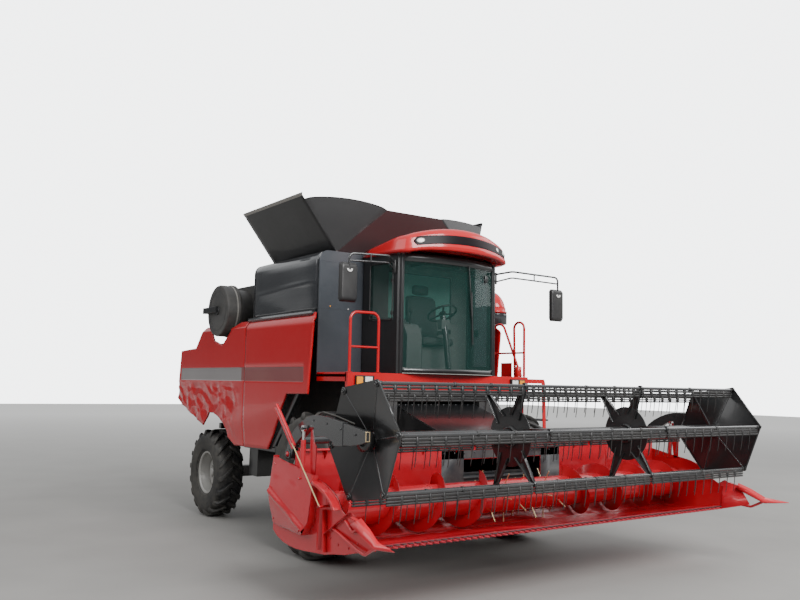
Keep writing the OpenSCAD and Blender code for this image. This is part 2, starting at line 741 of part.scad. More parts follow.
// Back sheet, trough round the auger, floor and the frame's tubes
module header_frame() {
    r_in = auger_d / 2 + 20;
    r_out = r_in + sheet_t;
    color(red) union() {
        difference() {
            union() {
                translate([auger_x, header_in, auger_z]) rotate([90, 0, 0]) linear_extrude(2 * header_in)
                    difference() {
                        circle(r = r_out);
                        circle(r = r_in);
                        translate([0, -r_out - 1]) square([r_out + 1, 2 * r_out + 2]);
                        translate([-r_out - 1, 0]) square([r_out + 2, r_out + 1]);
                    }
                block([back_x - sheet_t, -header_in, auger_z - 1], [back_x, header_in, 1390]);
                slab([[auger_x - 1, floor_z], [auger_x - 1, floor_z - sheet_t], [knife_x - 60, knife_z - 30 - sheet_t],
                    [knife_x - 60, knife_z - 30]], -header_in, header_in);
                block([back_x - 90, -header_in, 1300], [back_x, header_in, 1400]);
                block([back_x - 90, -header_in, 600], [back_x - sheet_t + 1, header_in, 700]);
            }
            block([back_x - 100, -feeder_w / 2 + 60, 640], [back_x + 80, feeder_w / 2 - 60, 1230]);
            block([back_x - 100, -870 - seat, 560], [back_x - sheet_t, 870 + seat, 1300 - seat]);
            both_sides() block([back_x - 100, arm_y - arm_w / 2 - 6, 1290], [back_x + 1, header_y, 1410]);
        }
        both_sides() difference() {
            slab([[arm_pivot[0] - 60, 1290], [arm_pivot[0] - 60, arm_pivot[1] + 60], [arm_pivot[0] + 60, arm_pivot[1] + 60],
                [back_x, 1390], [back_x, 1290]], arm_y - arm_w / 2 - 42, arm_y - arm_w / 2 - 6);
        }
        both_sides() cross_bar(arm_pivot[0], arm_pivot[1], arm_y - arm_w / 2 - 20, arm_y + arm_w / 2 + 12, 25);
    }
}

// Side sheets, with the drive shield outside the right one, and the dividers
module divider() {
    y = header_y;
    hull() {
        block([3560, y - 55, 860], [3580, y + 110, 960]);
        block([3440, y - 20, 780], [3460, y + 90, 860]);
        translate([divider_tip_x - 15, y + 97, 770]) sphere(r = 15, $fn = 8);
        block([3560, y + 5, 680], [3580, y + 90, 700]);
    }
    hull() {
        block([3190, y - 8, 640], [3212, y + 30, 760]);
        block([3558, y + 8, 684], [3572, y + 80, 764]);
    }
    bar([3205, y - 5, 850], [3500, y + 50, 905], 20);
}

module header_ends() {
    color(red) union() {
        both_sides() {
            difference() {
                slab([[2050, 1270], [2050, 700], [2250, 560], [2450, 530], [2900, 540], [3215, 600], [3230, 900],
                    [3105, 1050], [2845, 1170], [2500, 1270]], header_in, header_y);
                cross_bar(reel_base[0], reel_base[1], header_in - 1, header_y + 1, reel_pin_r + seat);
                cross_bar(auger_x, auger_z, header_in - 1, header_y + 1, auger_shaft_r + seat);
            }
            cross_bar(reel_base[0], reel_base[1], header_in - 1, reel_cyl_y + 35, reel_pin_r);
            divider();
        }
        mirror([0, 1, 0]) difference() {
            slab([[1845, 1320], [1775, 650], [2415, 630], [2585, 710], [2625, 1200]], header_y - 1, header_y + 107);
            slab([[1865, 1360], [1795, 670], [2415, 650], [2565, 720], [2605, 1200], [2605, 1260]],
                header_y - 2, header_y + 97);
        }
    }
}

// Knife bar with a guard finger at every second tine
module cutter_bar() {
    guard_pitch = 76.2;
    n = floor((2 * header_in - 60) / guard_pitch / 2);
    color(red) union() {
        block([knife_x - 60 + seat, -header_in, knife_z - 44], [knife_x - 10, header_in, knife_z - 10]);
        for (k = [-n : n]) translate([knife_x - 12, k * guard_pitch, knife_z - 40])
            linear_extrude(24) polygon([[0, -16], [30, -14], [80, 0], [30, 14], [0, 16]]);
    }
}

// Flight of the auger: a band from radius r0 to r1 that winds round the Z axis
function helix_ring(r0, r1, t, z, a) = [
    [r0 * cos(a), r0 * sin(a), z], [r1 * cos(a), r1 * sin(a), z],
    [r1 * cos(a), r1 * sin(a), z + t], [r0 * cos(a), r0 * sin(a), z + t]];

module flight(r0, r1, t, pitch, turns) {
    n = round(turns * flight_steps);
    points = [for (i = [0 : n])
        each helix_ring(r0, r1, t, i * pitch / flight_steps, i * 360 / flight_steps)];
    sides = [for (i = [0 : n - 1], j = [0 : 3])
        let (a = 4 * i + j, b = 4 * i + (j + 1) % 4)
            each (j < 2 ? [[b, b + 4, a + 4], [b, a + 4, a]] : [[b, b + 4, a], [b + 4, a + 4, a]])];
    last = 4 * n;
    polyhedron(points = points, faces = concat([[3, 2, 1, 0]], sides,
        [[last, last + 1, last + 2, last + 3]]));
}

module header_auger() {
    l = 2 * header_in - 30;
    pitch = 560;
    middle = 620;
    turns = (l / 2 - middle - 40) / pitch;
    inner_r = (auger_tube_d / 2 + seat) / cos(180 / flight_steps);
    color(red) translate([auger_x, 0, auger_z]) rotate([-90, 0, 0]) {
        translate([0, 0, -l / 2]) cylinder(h = l, r = auger_tube_d / 2);
        translate([0, 0, -header_y - 20]) cylinder(h = 2 * header_y + 40, r = auger_shaft_r);
        for (a = [0, 180]) rotate([0, 0, a]) {
            translate([0, 0, middle]) flight(inner_r, auger_d / 2, 12, pitch, turns);
            mirror([0, 0, 1]) translate([0, 0, middle]) flight(inner_r, auger_d / 2, 12, pitch, turns);
        }
        for (k = [0 : 11]) translate([0, 0, -550 + 100 * k]) rotate([0, 0, 150 * k])
            rotate([0, 90, 0]) cylinder(h = auger_d / 2, r = 8, $fn = 8);
    }
}

// Curved box arms that carry the reel, tied by a tube behind it
module reel_arms() {
    color(black) union() {
        both_sides() {
            difference() {
                slab([[2060, 1340], [2095, 1300], [2165, 1310], [2300, 1500], [2420, 1590], [2650, 1640],
                    [3420, 1520], [3450, 1640], [2760, 1745], [2600, 1750], [2350, 1680], [2200, 1560], [2100, 1490]],
                    arm_y - arm_w / 2, arm_y + arm_w / 2);
                cross_bar(arm_pivot[0], arm_pivot[1], arm_y - 50, arm_y + 50, 25 + seat);
            }
            cross_bar(reel_x, reel_z, arm_y - 100, arm_y + 20, 30);
            cross_bar(reel_eye[0], reel_eye[1], arm_y, reel_cyl_y + 35, reel_pin_r);
        }
        cross_bar(2150, 1480, -arm_y, arm_y, 40);
    }
}

// Reel: centre tube, end shields and spiders that hold the six bats
module reel() {
    color(black) translate([reel_x, 0, reel_z]) rotate([-90, 0, 0]) difference() {
        union() {
            translate([0, 0, -shield_y + 5]) cylinder(h = 2 * shield_y - 10, r = 75);
            for (y = concat([-shield_y, shield_y - 10], [for (s = spider_y) s - 5])) translate([0, 0, y]) {
                cylinder(h = 10, r = y == -shield_y || y == shield_y - 10 ? 330 : 200);
                for (k = [0 : 5]) rotate([0, 0, -bat_phase - 60 * k]) {
                    translate([100, -30, 2]) cube([reel_r - 100, 60, 6]);
                    translate([reel_r, 0, 0]) cylinder(h = 10, r = 40);
                }
            }
        }
        for (k = [0 : 5]) rotate([0, 0, -bat_phase - 60 * k]) translate([reel_r, 0, 0])
            cylinder(h = reel_l + 10, r = bat_r + seat, center = true);
        for (s = [-1, 1]) translate([0, 0, s * shield_y]) cylinder(h = 160, r = 30 + seat, center = true);
    }
}

// One bat: its tube, the slatted bar under it and the tines
module reel_bat(k) {
    a = bat_phase + 60 * (k - 1);
    n = floor((reel_l - 120) / tine_pitch / 2);
    slat_z = [-30, -62];
    color(black) translate([reel_x + reel_r * cos(a), 0, reel_z + reel_r * sin(a)]) union() {
        cross_bar(0, 0, -shield_y - 12, shield_y + 12, bat_r);
        for (side = [-1, 0, 1]) {
            y0 = side < 0 ? -shield_y + 20 : side == 0 ? spider_y[0] + 20 : spider_y[1] + 20;
            y1 = side < 0 ? spider_y[0] - 20 : side == 0 ? spider_y[1] - 20 : shield_y - 20;
            for (z = slat_z) block([-9, y0, z - 11], [9, y1, z + 11]);
        }
        for (j = [-n : n]) if (min([for (s = spider_y) abs(j * tine_pitch - s)]) > 26)
            block([-5, j * tine_pitch - 5, -tine_drop], [5, j * tine_pitch + 5, -bat_r + 3]);
    }
}

module reel_bat_1() reel_bat(1);
module reel_bat_2() reel_bat(2);
module reel_bat_3() reel_bat(3);
module reel_bat_4() reel_bat(4);
module reel_bat_5() reel_bat(5);
module reel_bat_6() reel_bat(6);

// Draws a cylinder's part along X from the base pin towards the eye
module from_pin(base, eye, y) {
    d = eye - base;
    both_sides() translate([base[0], y, base[1]]) rotate([0, -atan2(d[1], d[0]), 0]) children();
}

module barrel(l, r, pin_r, eye_w) {
    difference() {
        union() {
            rotate([0, 90, 0]) translate([0, 0, pin_r + 8]) cylinder(h = l - pin_r - 8, r = r);
            rotate([90, 0, 0]) translate([0, 0, -eye_w / 2]) cylinder(h = eye_w, r = pin_r + 16);
        }
        rotate([90, 0, 0]) translate([0, 0, -eye_w]) cylinder(h = 2 * eye_w, r = pin_r + seat);
        rotate([0, 90, 0]) translate([0, 0, r + 40]) cylinder(h = l, r = r * 0.6 + seat);
    }
}

// The rod's eye is wide, so that it may drift round its pin
module rod(total, from, r, pin_r, eye_w, play) {
    difference() {
        union() {
            rotate([0, 90, 0]) translate([0, 0, from]) cylinder(h = total - from - 10, r = r);
            translate([total, 0, 0]) rotate([90, 0, 0]) translate([0, 0, -eye_w / 2])
                cylinder(h = eye_w, r = pin_r + play + 14);
        }
        translate([total, 0, 0]) rotate([90, 0, 0]) translate([0, 0, -eye_w])
            cylinder(h = 2 * eye_w, r = pin_r + play);
    }
}

module header_lift_barrels() {
    color(black) from_pin(lift_base, lift_eye, lift_y) barrel(560, 45, lift_pin_r, 99);
}

module header_lift_rods() {
    color(silver) from_pin(lift_base, lift_eye, lift_y)
        rod(norm(lift_eye - lift_base), 330, 27, lift_pin_r, 60, pin_play);
}

module reel_lift_barrels() {
    color(red) from_pin(reel_base, reel_eye, reel_cyl_y) barrel(350, 24, reel_pin_r, 30);
}

module reel_lift_rods() {
    color(silver) from_pin(reel_base, reel_eye, reel_cyl_y)
        rod(norm(reel_eye - reel_base), 200, 14.4, reel_pin_r, 30, 3.5);
}

chassis_frame();
front_axle();
rear_axle();
separator_body();
rear_hood();
right_side_panel();
left_side_panel();
grain_tank();
tank_extension();
engine();
screen_drum();
platform();
cab_frame();
cab_glass();
cab_door();
door_glass();
cab_roof();
cab_interior();
handrails();
mirrors();
unloader_tube();
feeder_house();
header_frame();
header_ends();
cutter_bar();
header_auger();
reel_arms();
reel();
reel_bat_1();
reel_bat_2();
reel_bat_3();
reel_bat_4();
reel_bat_5();
reel_bat_6();
header_lift_barrels();
header_lift_rods();
reel_lift_barrels();
reel_lift_rods();
right_knuckle();
left_knuckle();
right_front_tyre();
left_front_tyre();
right_front_rim();
left_front_rim();
right_rear_tyre();
left_rear_tyre();
right_rear_rim();
left_rear_rim();
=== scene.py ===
"""Looks of a combine harvester with its reel header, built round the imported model."""

import math

import bmesh
import bpy
from mathutils import Matrix, Vector, noise


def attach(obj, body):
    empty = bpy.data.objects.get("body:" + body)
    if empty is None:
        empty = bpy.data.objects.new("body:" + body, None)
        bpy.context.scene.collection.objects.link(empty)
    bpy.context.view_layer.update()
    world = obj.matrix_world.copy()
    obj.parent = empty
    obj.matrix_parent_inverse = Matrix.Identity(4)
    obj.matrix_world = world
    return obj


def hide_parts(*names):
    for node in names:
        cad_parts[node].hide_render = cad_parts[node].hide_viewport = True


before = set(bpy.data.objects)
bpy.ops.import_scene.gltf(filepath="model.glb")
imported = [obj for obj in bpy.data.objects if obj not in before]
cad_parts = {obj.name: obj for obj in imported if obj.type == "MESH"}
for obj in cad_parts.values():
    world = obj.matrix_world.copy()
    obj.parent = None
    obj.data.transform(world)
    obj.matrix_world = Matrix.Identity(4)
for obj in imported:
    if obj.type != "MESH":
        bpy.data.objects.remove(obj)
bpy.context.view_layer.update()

bl_info = {
    "name": "Combine harvester looks",
    "version": (1, 0, 0),
    "blender": (4, 5, 0),
    "location": "3D View > Sidebar > Harvester",
    "description": "Sheet metal, cab, wheels, header and reel of a combine harvester",
    "category": "Object",
}

MM = 0.001
WELD = 2e-5  # points closer than this, in metres, become one
SOFT_FROM = math.radians(40)  # edges sharper than this are bevelled
ROOT = "machine"
FINISHES = {}


# Settings

class PaintSettings(bpy.types.PropertyGroup):
    """Colours of the machine's finishes"""
    red: bpy.props.FloatVectorProperty(
        name="Body red", description="Enamel of the panels", subtype="COLOR",
        default=(0.45, 0.008, 0.012), min=0, max=1)
    header: bpy.props.FloatVectorProperty(
        name="Header red", description="Enamel of the header", subtype="COLOR",
        default=(0.52, 0.014, 0.026), min=0, max=1)
    black: bpy.props.FloatVectorProperty(
        name="Black", description="Paint of the frame and the reel", subtype="COLOR",
        default=(0.008, 0.0085, 0.0095), min=0, max=1)
    dust: bpy.props.FloatProperty(
        name="Dust", description="Share of dust on the paint", default=0.04,
        min=0, max=1, subtype="FACTOR")


class TreadSettings(bpy.types.PropertyGroup):
    """Sizes of the tyres' tread"""
    lugs: bpy.props.IntProperty(
        name="Lugs", description="Lugs on each half of a tread", default=18, min=12, max=24)
    depth: bpy.props.FloatProperty(
        name="Depth", description="Height of a lug", default=0.044, min=0.02,
        max=0.06, unit="LENGTH")


class ReelSettings(bpy.types.PropertyGroup):
    """Sizes of the reel"""
    pitch: bpy.props.FloatProperty(
        name="Tine pitch", description="Distance between tines", default=0.15,
        min=0.1, max=0.2, unit="LENGTH")
    drop: bpy.props.FloatProperty(
        name="Tine drop", description="Reach of a tine below its bat", default=0.268,
        min=0.2, max=0.275, unit="LENGTH")


# Node groups and finishes

def group(name, kind, inputs, outputs):
    """A new node group with named sockets, its nodes' maker and its two ends"""
    tree = bpy.data.node_groups.new(name, kind)
    for way, sockets in (("INPUT", inputs), ("OUTPUT", outputs)):
        for label, socket, value in sockets:
            item = tree.interface.new_socket(label, in_out=way, socket_type="NodeSocket" + socket)
            if value is not None:
                item.default_value = value
    return tree, tree.nodes.new("NodeGroupInput"), tree.nodes.new("NodeGroupOutput")


def add(tree, kind, links=None, **settings):
    """A node with settings; links gives each input a value or another node's socket"""
    node = tree.nodes.new(kind)
    for key, value in settings.items():
        setattr(node, key, value)
    for key, value in (links or {}).items():
        socket = node.inputs[key]
        if isinstance(value, bpy.types.NodeSocket):
            tree.links.new(value, socket)
        else:
            socket.default_value = value
    return node


def maths(tree, operation, a, b=0.0, clamp=False):
    return add(tree, "ShaderNodeMath", {0: a, 1: b}, operation=operation, use_clamp=clamp).outputs[0]


def blend(tree, factor, a, b):
    return add(tree, "ShaderNodeMix", {0: factor, 6: a, 7: b}, data_type="RGBA").outputs[2]


def span(tree, value, low, high, to_low=0.0, to_high=1.0):
    return add(tree, "ShaderNodeMapRange",
               {0: value, 1: low, 2: high, 3: to_low, 4: to_high}).outputs[0]


def make_weather():
    """Fading, dust that thickens towards the ground, and a fine grain"""
    tree, start, end = group(
        "Weather", "ShaderNodeTree",
        (("Base", "Color", (0.5, 0.5, 0.5, 1)), ("Fade", "Color", (0.5, 0.5, 0.5, 1)),
         ("Fade Amount", "Float", 0.3), ("Dust", "Color", (0.3, 0.27, 0.22, 1)),
         ("Dust Amount", "Float", 0.1), ("Roughness", "Float", 0.3),
         ("Spread", "Float", 0.1), ("Grain", "Float", 300.0)),
        (("Color", "Color", None), ("Roughness", "Float", None), ("Height", "Float", None)))
    where = add(tree, "ShaderNodeTexCoord").outputs["Object"]
    broad = add(tree, "ShaderNodeTexNoise", {"Vector": where, "Scale": 1.3, "Detail": 4.0}).outputs[0]
    fine = add(tree, "ShaderNodeTexNoise",
               {"Vector": where, "Scale": 11.0, "Detail": 7.0, "Roughness": 0.65}).outputs[0]
    grain = add(tree, "ShaderNodeTexNoise",
                {"Vector": where, "Scale": start.outputs["Grain"], "Detail": 2.0}).outputs[0]
    height = add(tree, "ShaderNodeSeparateXYZ", {0: where}).outputs[2]
    low = span(tree, height, 2.6, 0.0, 0.35, 1.0)
    patch = span(tree, maths(tree, "ADD", fine, maths(tree, "MULTIPLY", broad, 0.5)), 0.55, 1.0)
    dust = maths(tree, "MULTIPLY", maths(tree, "MULTIPLY", patch, low), start.outputs["Dust Amount"], True)
    fade = maths(tree, "MULTIPLY", span(tree, broad, 0.35, 0.68), start.outputs["Fade Amount"])
    faded = blend(tree, fade, start.outputs["Base"], start.outputs["Fade"])
    tree.links.new(blend(tree, dust, faded, start.outputs["Dust"]), end.inputs["Color"])
    rough = maths(tree, "ADD", start.outputs["Roughness"],
                  maths(tree, "MULTIPLY", maths(tree, "SUBTRACT", fine, 0.5), start.outputs["Spread"]))
    tree.links.new(maths(tree, "ADD", rough, maths(tree, "MULTIPLY", dust, 0.5), True),
                   end.inputs["Roughness"])
    tree.links.new(grain, end.inputs["Height"])


def make_waves():
    """Slow waves of thin sheet metal"""
    tree, start, end = group("Sheet Waves", "ShaderNodeTree", (("Scale", "Float", 1.6),),
                             (("Height", "Float", None),))
    where = add(tree, "ShaderNodeTexCoord").outputs["Object"]
    slow = add(tree, "ShaderNodeTexNoise",
               {"Vector": where, "Scale": start.outputs["Scale"], "Detail": 1.5}).outputs[0]
    tree.links.new(slow, end.inputs["Height"])


def finish(name, base, fade, rough, spread=0.12, fade_by=0.4, dust=0.1, grain=300.0,
           bump=0.1, depth=0.0004, waves=0.0, **shader):
    """A paint or other surface from the shared groups; the rest are the shader's own values"""
    material = bpy.data.materials.new(name)
    material.use_nodes = True
    tree = material.node_tree
    principled = tree.nodes["Principled BSDF"]
    for key, value in shader.items():
        principled.inputs[key.replace("_", " ")].default_value = value
    weather = add(tree, "ShaderNodeGroup", node_tree=bpy.data.node_groups["Weather"])
    for key, value in (("Base", (*base, 1)), ("Fade", (*fade, 1)), ("Fade Amount", fade_by),
                       ("Dust Amount", dust), ("Roughness", rough), ("Spread", spread),
                       ("Grain", grain)):
        weather.inputs[key].default_value = value
    tree.links.new(weather.outputs["Color"], principled.inputs["Base Color"])
    tree.links.new(weather.outputs["Roughness"], principled.inputs["Roughness"])
    small = add(tree, "ShaderNodeBump", {"Height": weather.outputs["Height"], "Strength": bump,
                                         "Distance": depth})
    if waves:
        slow = add(tree, "ShaderNodeGroup", node_tree=bpy.data.node_groups["Sheet Waves"])
        large = add(tree, "ShaderNodeBump", {"Height": slow.outputs["Height"], "Strength": 1.0,
                                             "Distance": waves})
        tree.links.new(large.outputs[0], small.inputs["Normal"])
    tree.links.new(small.outputs[0], principled.inputs["Normal"])
    FINISHES[name] = material
    return material


def make_finishes(paint):
    make_weather()
    make_waves()
    red, header, black = tuple(paint.red), tuple(paint.header), tuple(paint.black)
    pale_red = tuple(0.94 * c + 0.06 * g for c, g in zip(red, (0.5, 0.2, 0.2)))
    dusty = (0.035, 0.034, 0.033)
    finish("red", red, pale_red, 0.2, spread=0.04, dust=paint.dust, fade_by=0.2, waves=0.003,
           bump=0.0, Coat_Weight=0.45, Coat_Roughness=0.03, Specular_IOR_Level=0.3)
    finish("header_red", header, red, 0.22, spread=0.06, dust=paint.dust, waves=0.004, bump=0.0,
           Coat_Weight=0.6, Coat_Roughness=0.06, Specular_IOR_Level=0.35)
    finish("header_light", (0.66, 0.045, 0.07), header, 0.3, dust=0.0, bump=0.05, Coat_Weight=0.5)
    finish("stripe_silver", (0.27, 0.25, 0.25), (0.33, 0.31, 0.31), 0.34, waves=0.006, Metallic=0.3)
    finish("stripe_red", (0.2, 0.05, 0.05), (0.25, 0.09, 0.085), 0.34, waves=0.006, Metallic=0.1)
    finish("black", black, dusty, 0.28, spread=0.03, dust=0.02, fade_by=0.2, waves=0.003, bump=0.02,
           Coat_Weight=0.4, Coat_Roughness=0.1)
    finish("tank", (0.022, 0.024, 0.028), (0.036, 0.038, 0.042), 0.22, spread=0.0, dust=0.0, waves=0.006,
           bump=0.0, Coat_Weight=0.8, Coat_Roughness=0.06)
    finish("leaf", (0.014, 0.014, 0.015), (0.022, 0.021, 0.021), 0.4, dust=0.0, waves=0.008,
           Coat_Weight=0.4, Coat_Roughness=0.12, Specular_IOR_Level=0.3)
    finish("leaf_front", (0.04, 0.022, 0.023), (0.03, 0.02, 0.021), 0.4, dust=0.0, waves=0.008)
    finish("bulkhead", (0.03, 0.036, 0.044), (0.038, 0.042, 0.05), 0.34, dust=0.04, waves=0.006,
           Coat_Weight=0.2, Coat_Roughness=0.2)
    finish("trim_line", (0.25, 0.24, 0.22), (0.18, 0.17, 0.16), 0.4)
    finish("gloss", (0.004, 0.004, 0.005), (0.02, 0.003, 0.006), 0.35, spread=0.0, dust=0.0, bump=0.0,
           Specular_IOR_Level=0.12)
    finish("plate", (0.045, 0.049, 0.055), (0.07, 0.072, 0.076), 0.4, dust=0.3)
    finish("rubber", (0.01, 0.01, 0.011), (0.026, 0.025, 0.024), 0.62, dust=0.22, fade_by=0.7,
           grain=160.0, bump=0.3, depth=0.0008)
    finish("rim", (0.36, 0.355, 0.34), (0.27, 0.265, 0.25), 0.35, dust=0.2, Metallic=0.25)
    finish("rod", (0.72, 0.72, 0.72), (0.6, 0.6, 0.6), 0.12, dust=0.05, Metallic=1.0)
    finish("zinc", (0.6, 0.45, 0.24), (0.66, 0.55, 0.38), 0.35, dust=0.1, Metallic=0.7)
    # tube: a dark grey a little lighter than the black paint; the lift is partly painted sheen, standing in
    # for the sky's reflection on glossy black tubes, arms and beads
    finish("tube", (0.022, 0.023, 0.025), (0.035, 0.035, 0.036), 0.2, dust=0.05, Coat_Weight=0.6,
           Coat_Roughness=0.1)
    finish("plastic", (0.01, 0.01, 0.011), dusty, 0.38, dust=0.06, grain=500.0)
    finish("hose", (0.012, 0.012, 0.013), dusty, 0.5, dust=0.3)
    finish("lens", (0.75, 0.76, 0.74), (0.6, 0.6, 0.56), 0.12, dust=0.05, Coat_Weight=1.0)
    finish("amber", (0.8, 0.3, 0.01), (0.7, 0.22, 0.01), 0.2, dust=0.05, Coat_Weight=1.0)
    finish("white", (0.66, 0.66, 0.64), (0.5, 0.5, 0.48), 0.3, dust=0.1)
    finish("seat", (0.03, 0.031, 0.033), (0.06, 0.06, 0.06), 0.75, grain=700.0, bump=0.4)
    finish("trim", (0.1, 0.104, 0.102), (0.15, 0.15, 0.145), 0.5, grain=600.0, bump=0.3)
    finish("screen", (0.03, 0.03, 0.031), (0.06, 0.058, 0.055), 0.5, dust=0.4, grain=420.0,
           bump=0.6, depth=0.0012)
    finish("works", (0.02, 0.021, 0.024), (0.045, 0.043, 0.04), 0.5, dust=0.3)
    # pane: a light teal that paints in the bright daylight seen through the cab's rear window
    finish("pane", (0.16, 0.34, 0.29), (0.2, 0.38, 0.33), 0.12, dust=0.0, bump=0.0, Coat_Weight=0.6)
    glass = finish("glass", (0.016, 0.052, 0.045), (0.022, 0.062, 0.054), 0.03, spread=0.02,
                   dust=0.0, bump=0.0)
    glass.node_tree.nodes["Principled BSDF"].inputs["Alpha"].default_value = 0.3


# Shapes

def make_repeat():
    """Copies of a shape, each set off and turned by one more step"""
    tree, start, end = group(
        "Repeat", "GeometryNodeTree",
        (("Geometry", "Geometry", None), ("Count", "Int", 4), ("Step", "Vector", (0, 0, 0)),
         ("Turn", "Vector", (0, 0, 0)), ("Centre", "Vector", (0, 0, 0)),
         ("Finish", "Material", None)),
        (("Geometry", "Geometry", None),))
    line = add(tree, "GeometryNodeMeshLine", {"Count": start.outputs["Count"],
                                              "Offset": start.outputs["Step"]})
    index = add(tree, "GeometryNodeInputIndex").outputs[0]
    turn = add(tree, "ShaderNodeVectorMath", {0: start.outputs["Turn"]}, operation="SCALE")
    tree.links.new(index, turn.inputs["Scale"])
    copies = add(tree, "GeometryNodeInstanceOnPoints",
                 {"Points": line.outputs[0], "Instance": start.outputs["Geometry"],
                  "Rotation": turn.outputs[0]})
    real = add(tree, "GeometryNodeRealizeInstances", {0: copies.outputs[0]})
    moved = add(tree, "GeometryNodeTransform", {"Geometry": real.outputs[0],
                                                "Translation": start.outputs["Centre"]})
    done = add(tree, "GeometryNodeSetMaterial", {"Geometry": moved.outputs[0],
                                                 "Material": start.outputs["Finish"]})
    tree.links.new(done.outputs[0], end.inputs[0])


def make_pipe():
    """A round tube along a path, with its corners bent to a radius"""
    tree, start, end = group(
        "Pipe", "GeometryNodeTree",
        (("Geometry", "Geometry", None), ("Radius", "Float", 0.02), ("Bend", "Float", 0.05),
         ("Sides", "Int", 14), ("Finish", "Material", None)),
        (("Geometry", "Geometry", None),))
    curve = add(tree, "GeometryNodeMeshToCurve", {0: start.outputs["Geometry"]})
    bent = add(tree, "GeometryNodeFilletCurve", {"Curve": curve.outputs[0], "Count": 6,
                                                 "Radius": start.outputs["Bend"],
                                                 "Limit Radius": True}, mode="POLY")
    ring = add(tree, "GeometryNodeCurvePrimitiveCircle", {"Resolution": start.outputs["Sides"],
                                                          "Radius": start.outputs["Radius"]})
    tube = add(tree, "GeometryNodeCurveToMesh", {"Curve": bent.outputs[0],
                                                 "Profile Curve": ring.outputs[0],
                                                 "Fill Caps": True})
    real = add(tree, "GeometryNodeRealizeInstances", {0: tube.outputs[0]})
    done = add(tree, "GeometryNodeSetMaterial", {"Geometry": real.outputs[0],
                                                 "Material": start.outputs["Finish"]})
    tree.links.new(done.outputs[0], end.inputs[0])


def run_tree(mesh, tree, **values):
    """The plain mesh that a geometry tree makes of a mesh"""
    work = bpy.data.objects.new("work", mesh)
    bpy.context.scene.collection.objects.link(work)
    modifier = work.modifiers.new("Tree", "NODES")
    modifier.node_group = bpy.data.node_groups[tree]
    ids = {s.name: s.identifier for s in modifier.node_group.interface.items_tree
           if s.item_type == "SOCKET" and s.in_out == "INPUT"}
    for name, value in values.items():
        modifier[ids[name]] = value
    graph = bpy.context.evaluated_depsgraph_get()
    made = bpy.data.meshes.new_from_object(work.evaluated_get(graph), depsgraph=graph)
    bpy.data.objects.remove(work)
    return made


PLANES = {"x": lambda a, b, c: (c, a, b), "y": lambda a, b, c: (a, c, b), "z": lambda a, b, c: (a, b, c)}


def between(side, a, b):
    """The lower and the higher place of a stretch on one side of the machine"""
    return tuple(sorted((side * a, side * b)))


def circle(steps):
    return [2 * math.pi * k / steps for k in range(steps)]


def spoke(angle):
    """Directions along a spoke and across it, in the X-Z plane"""
    return (Vector((math.cos(angle), 0, math.sin(angle))), Vector((-math.sin(angle), 0, math.cos(angle))))


def across(distance):
    return Vector((0, distance, 0))


def arc(cx, cy, r, a0, a1, n=6):
    return [(cx + r * math.cos(math.radians(a0 + (a1 - a0) * k / n)),
             cy + r * math.sin(math.radians(a0 + (a1 - a0) * k / n))) for k in range(n + 1)]


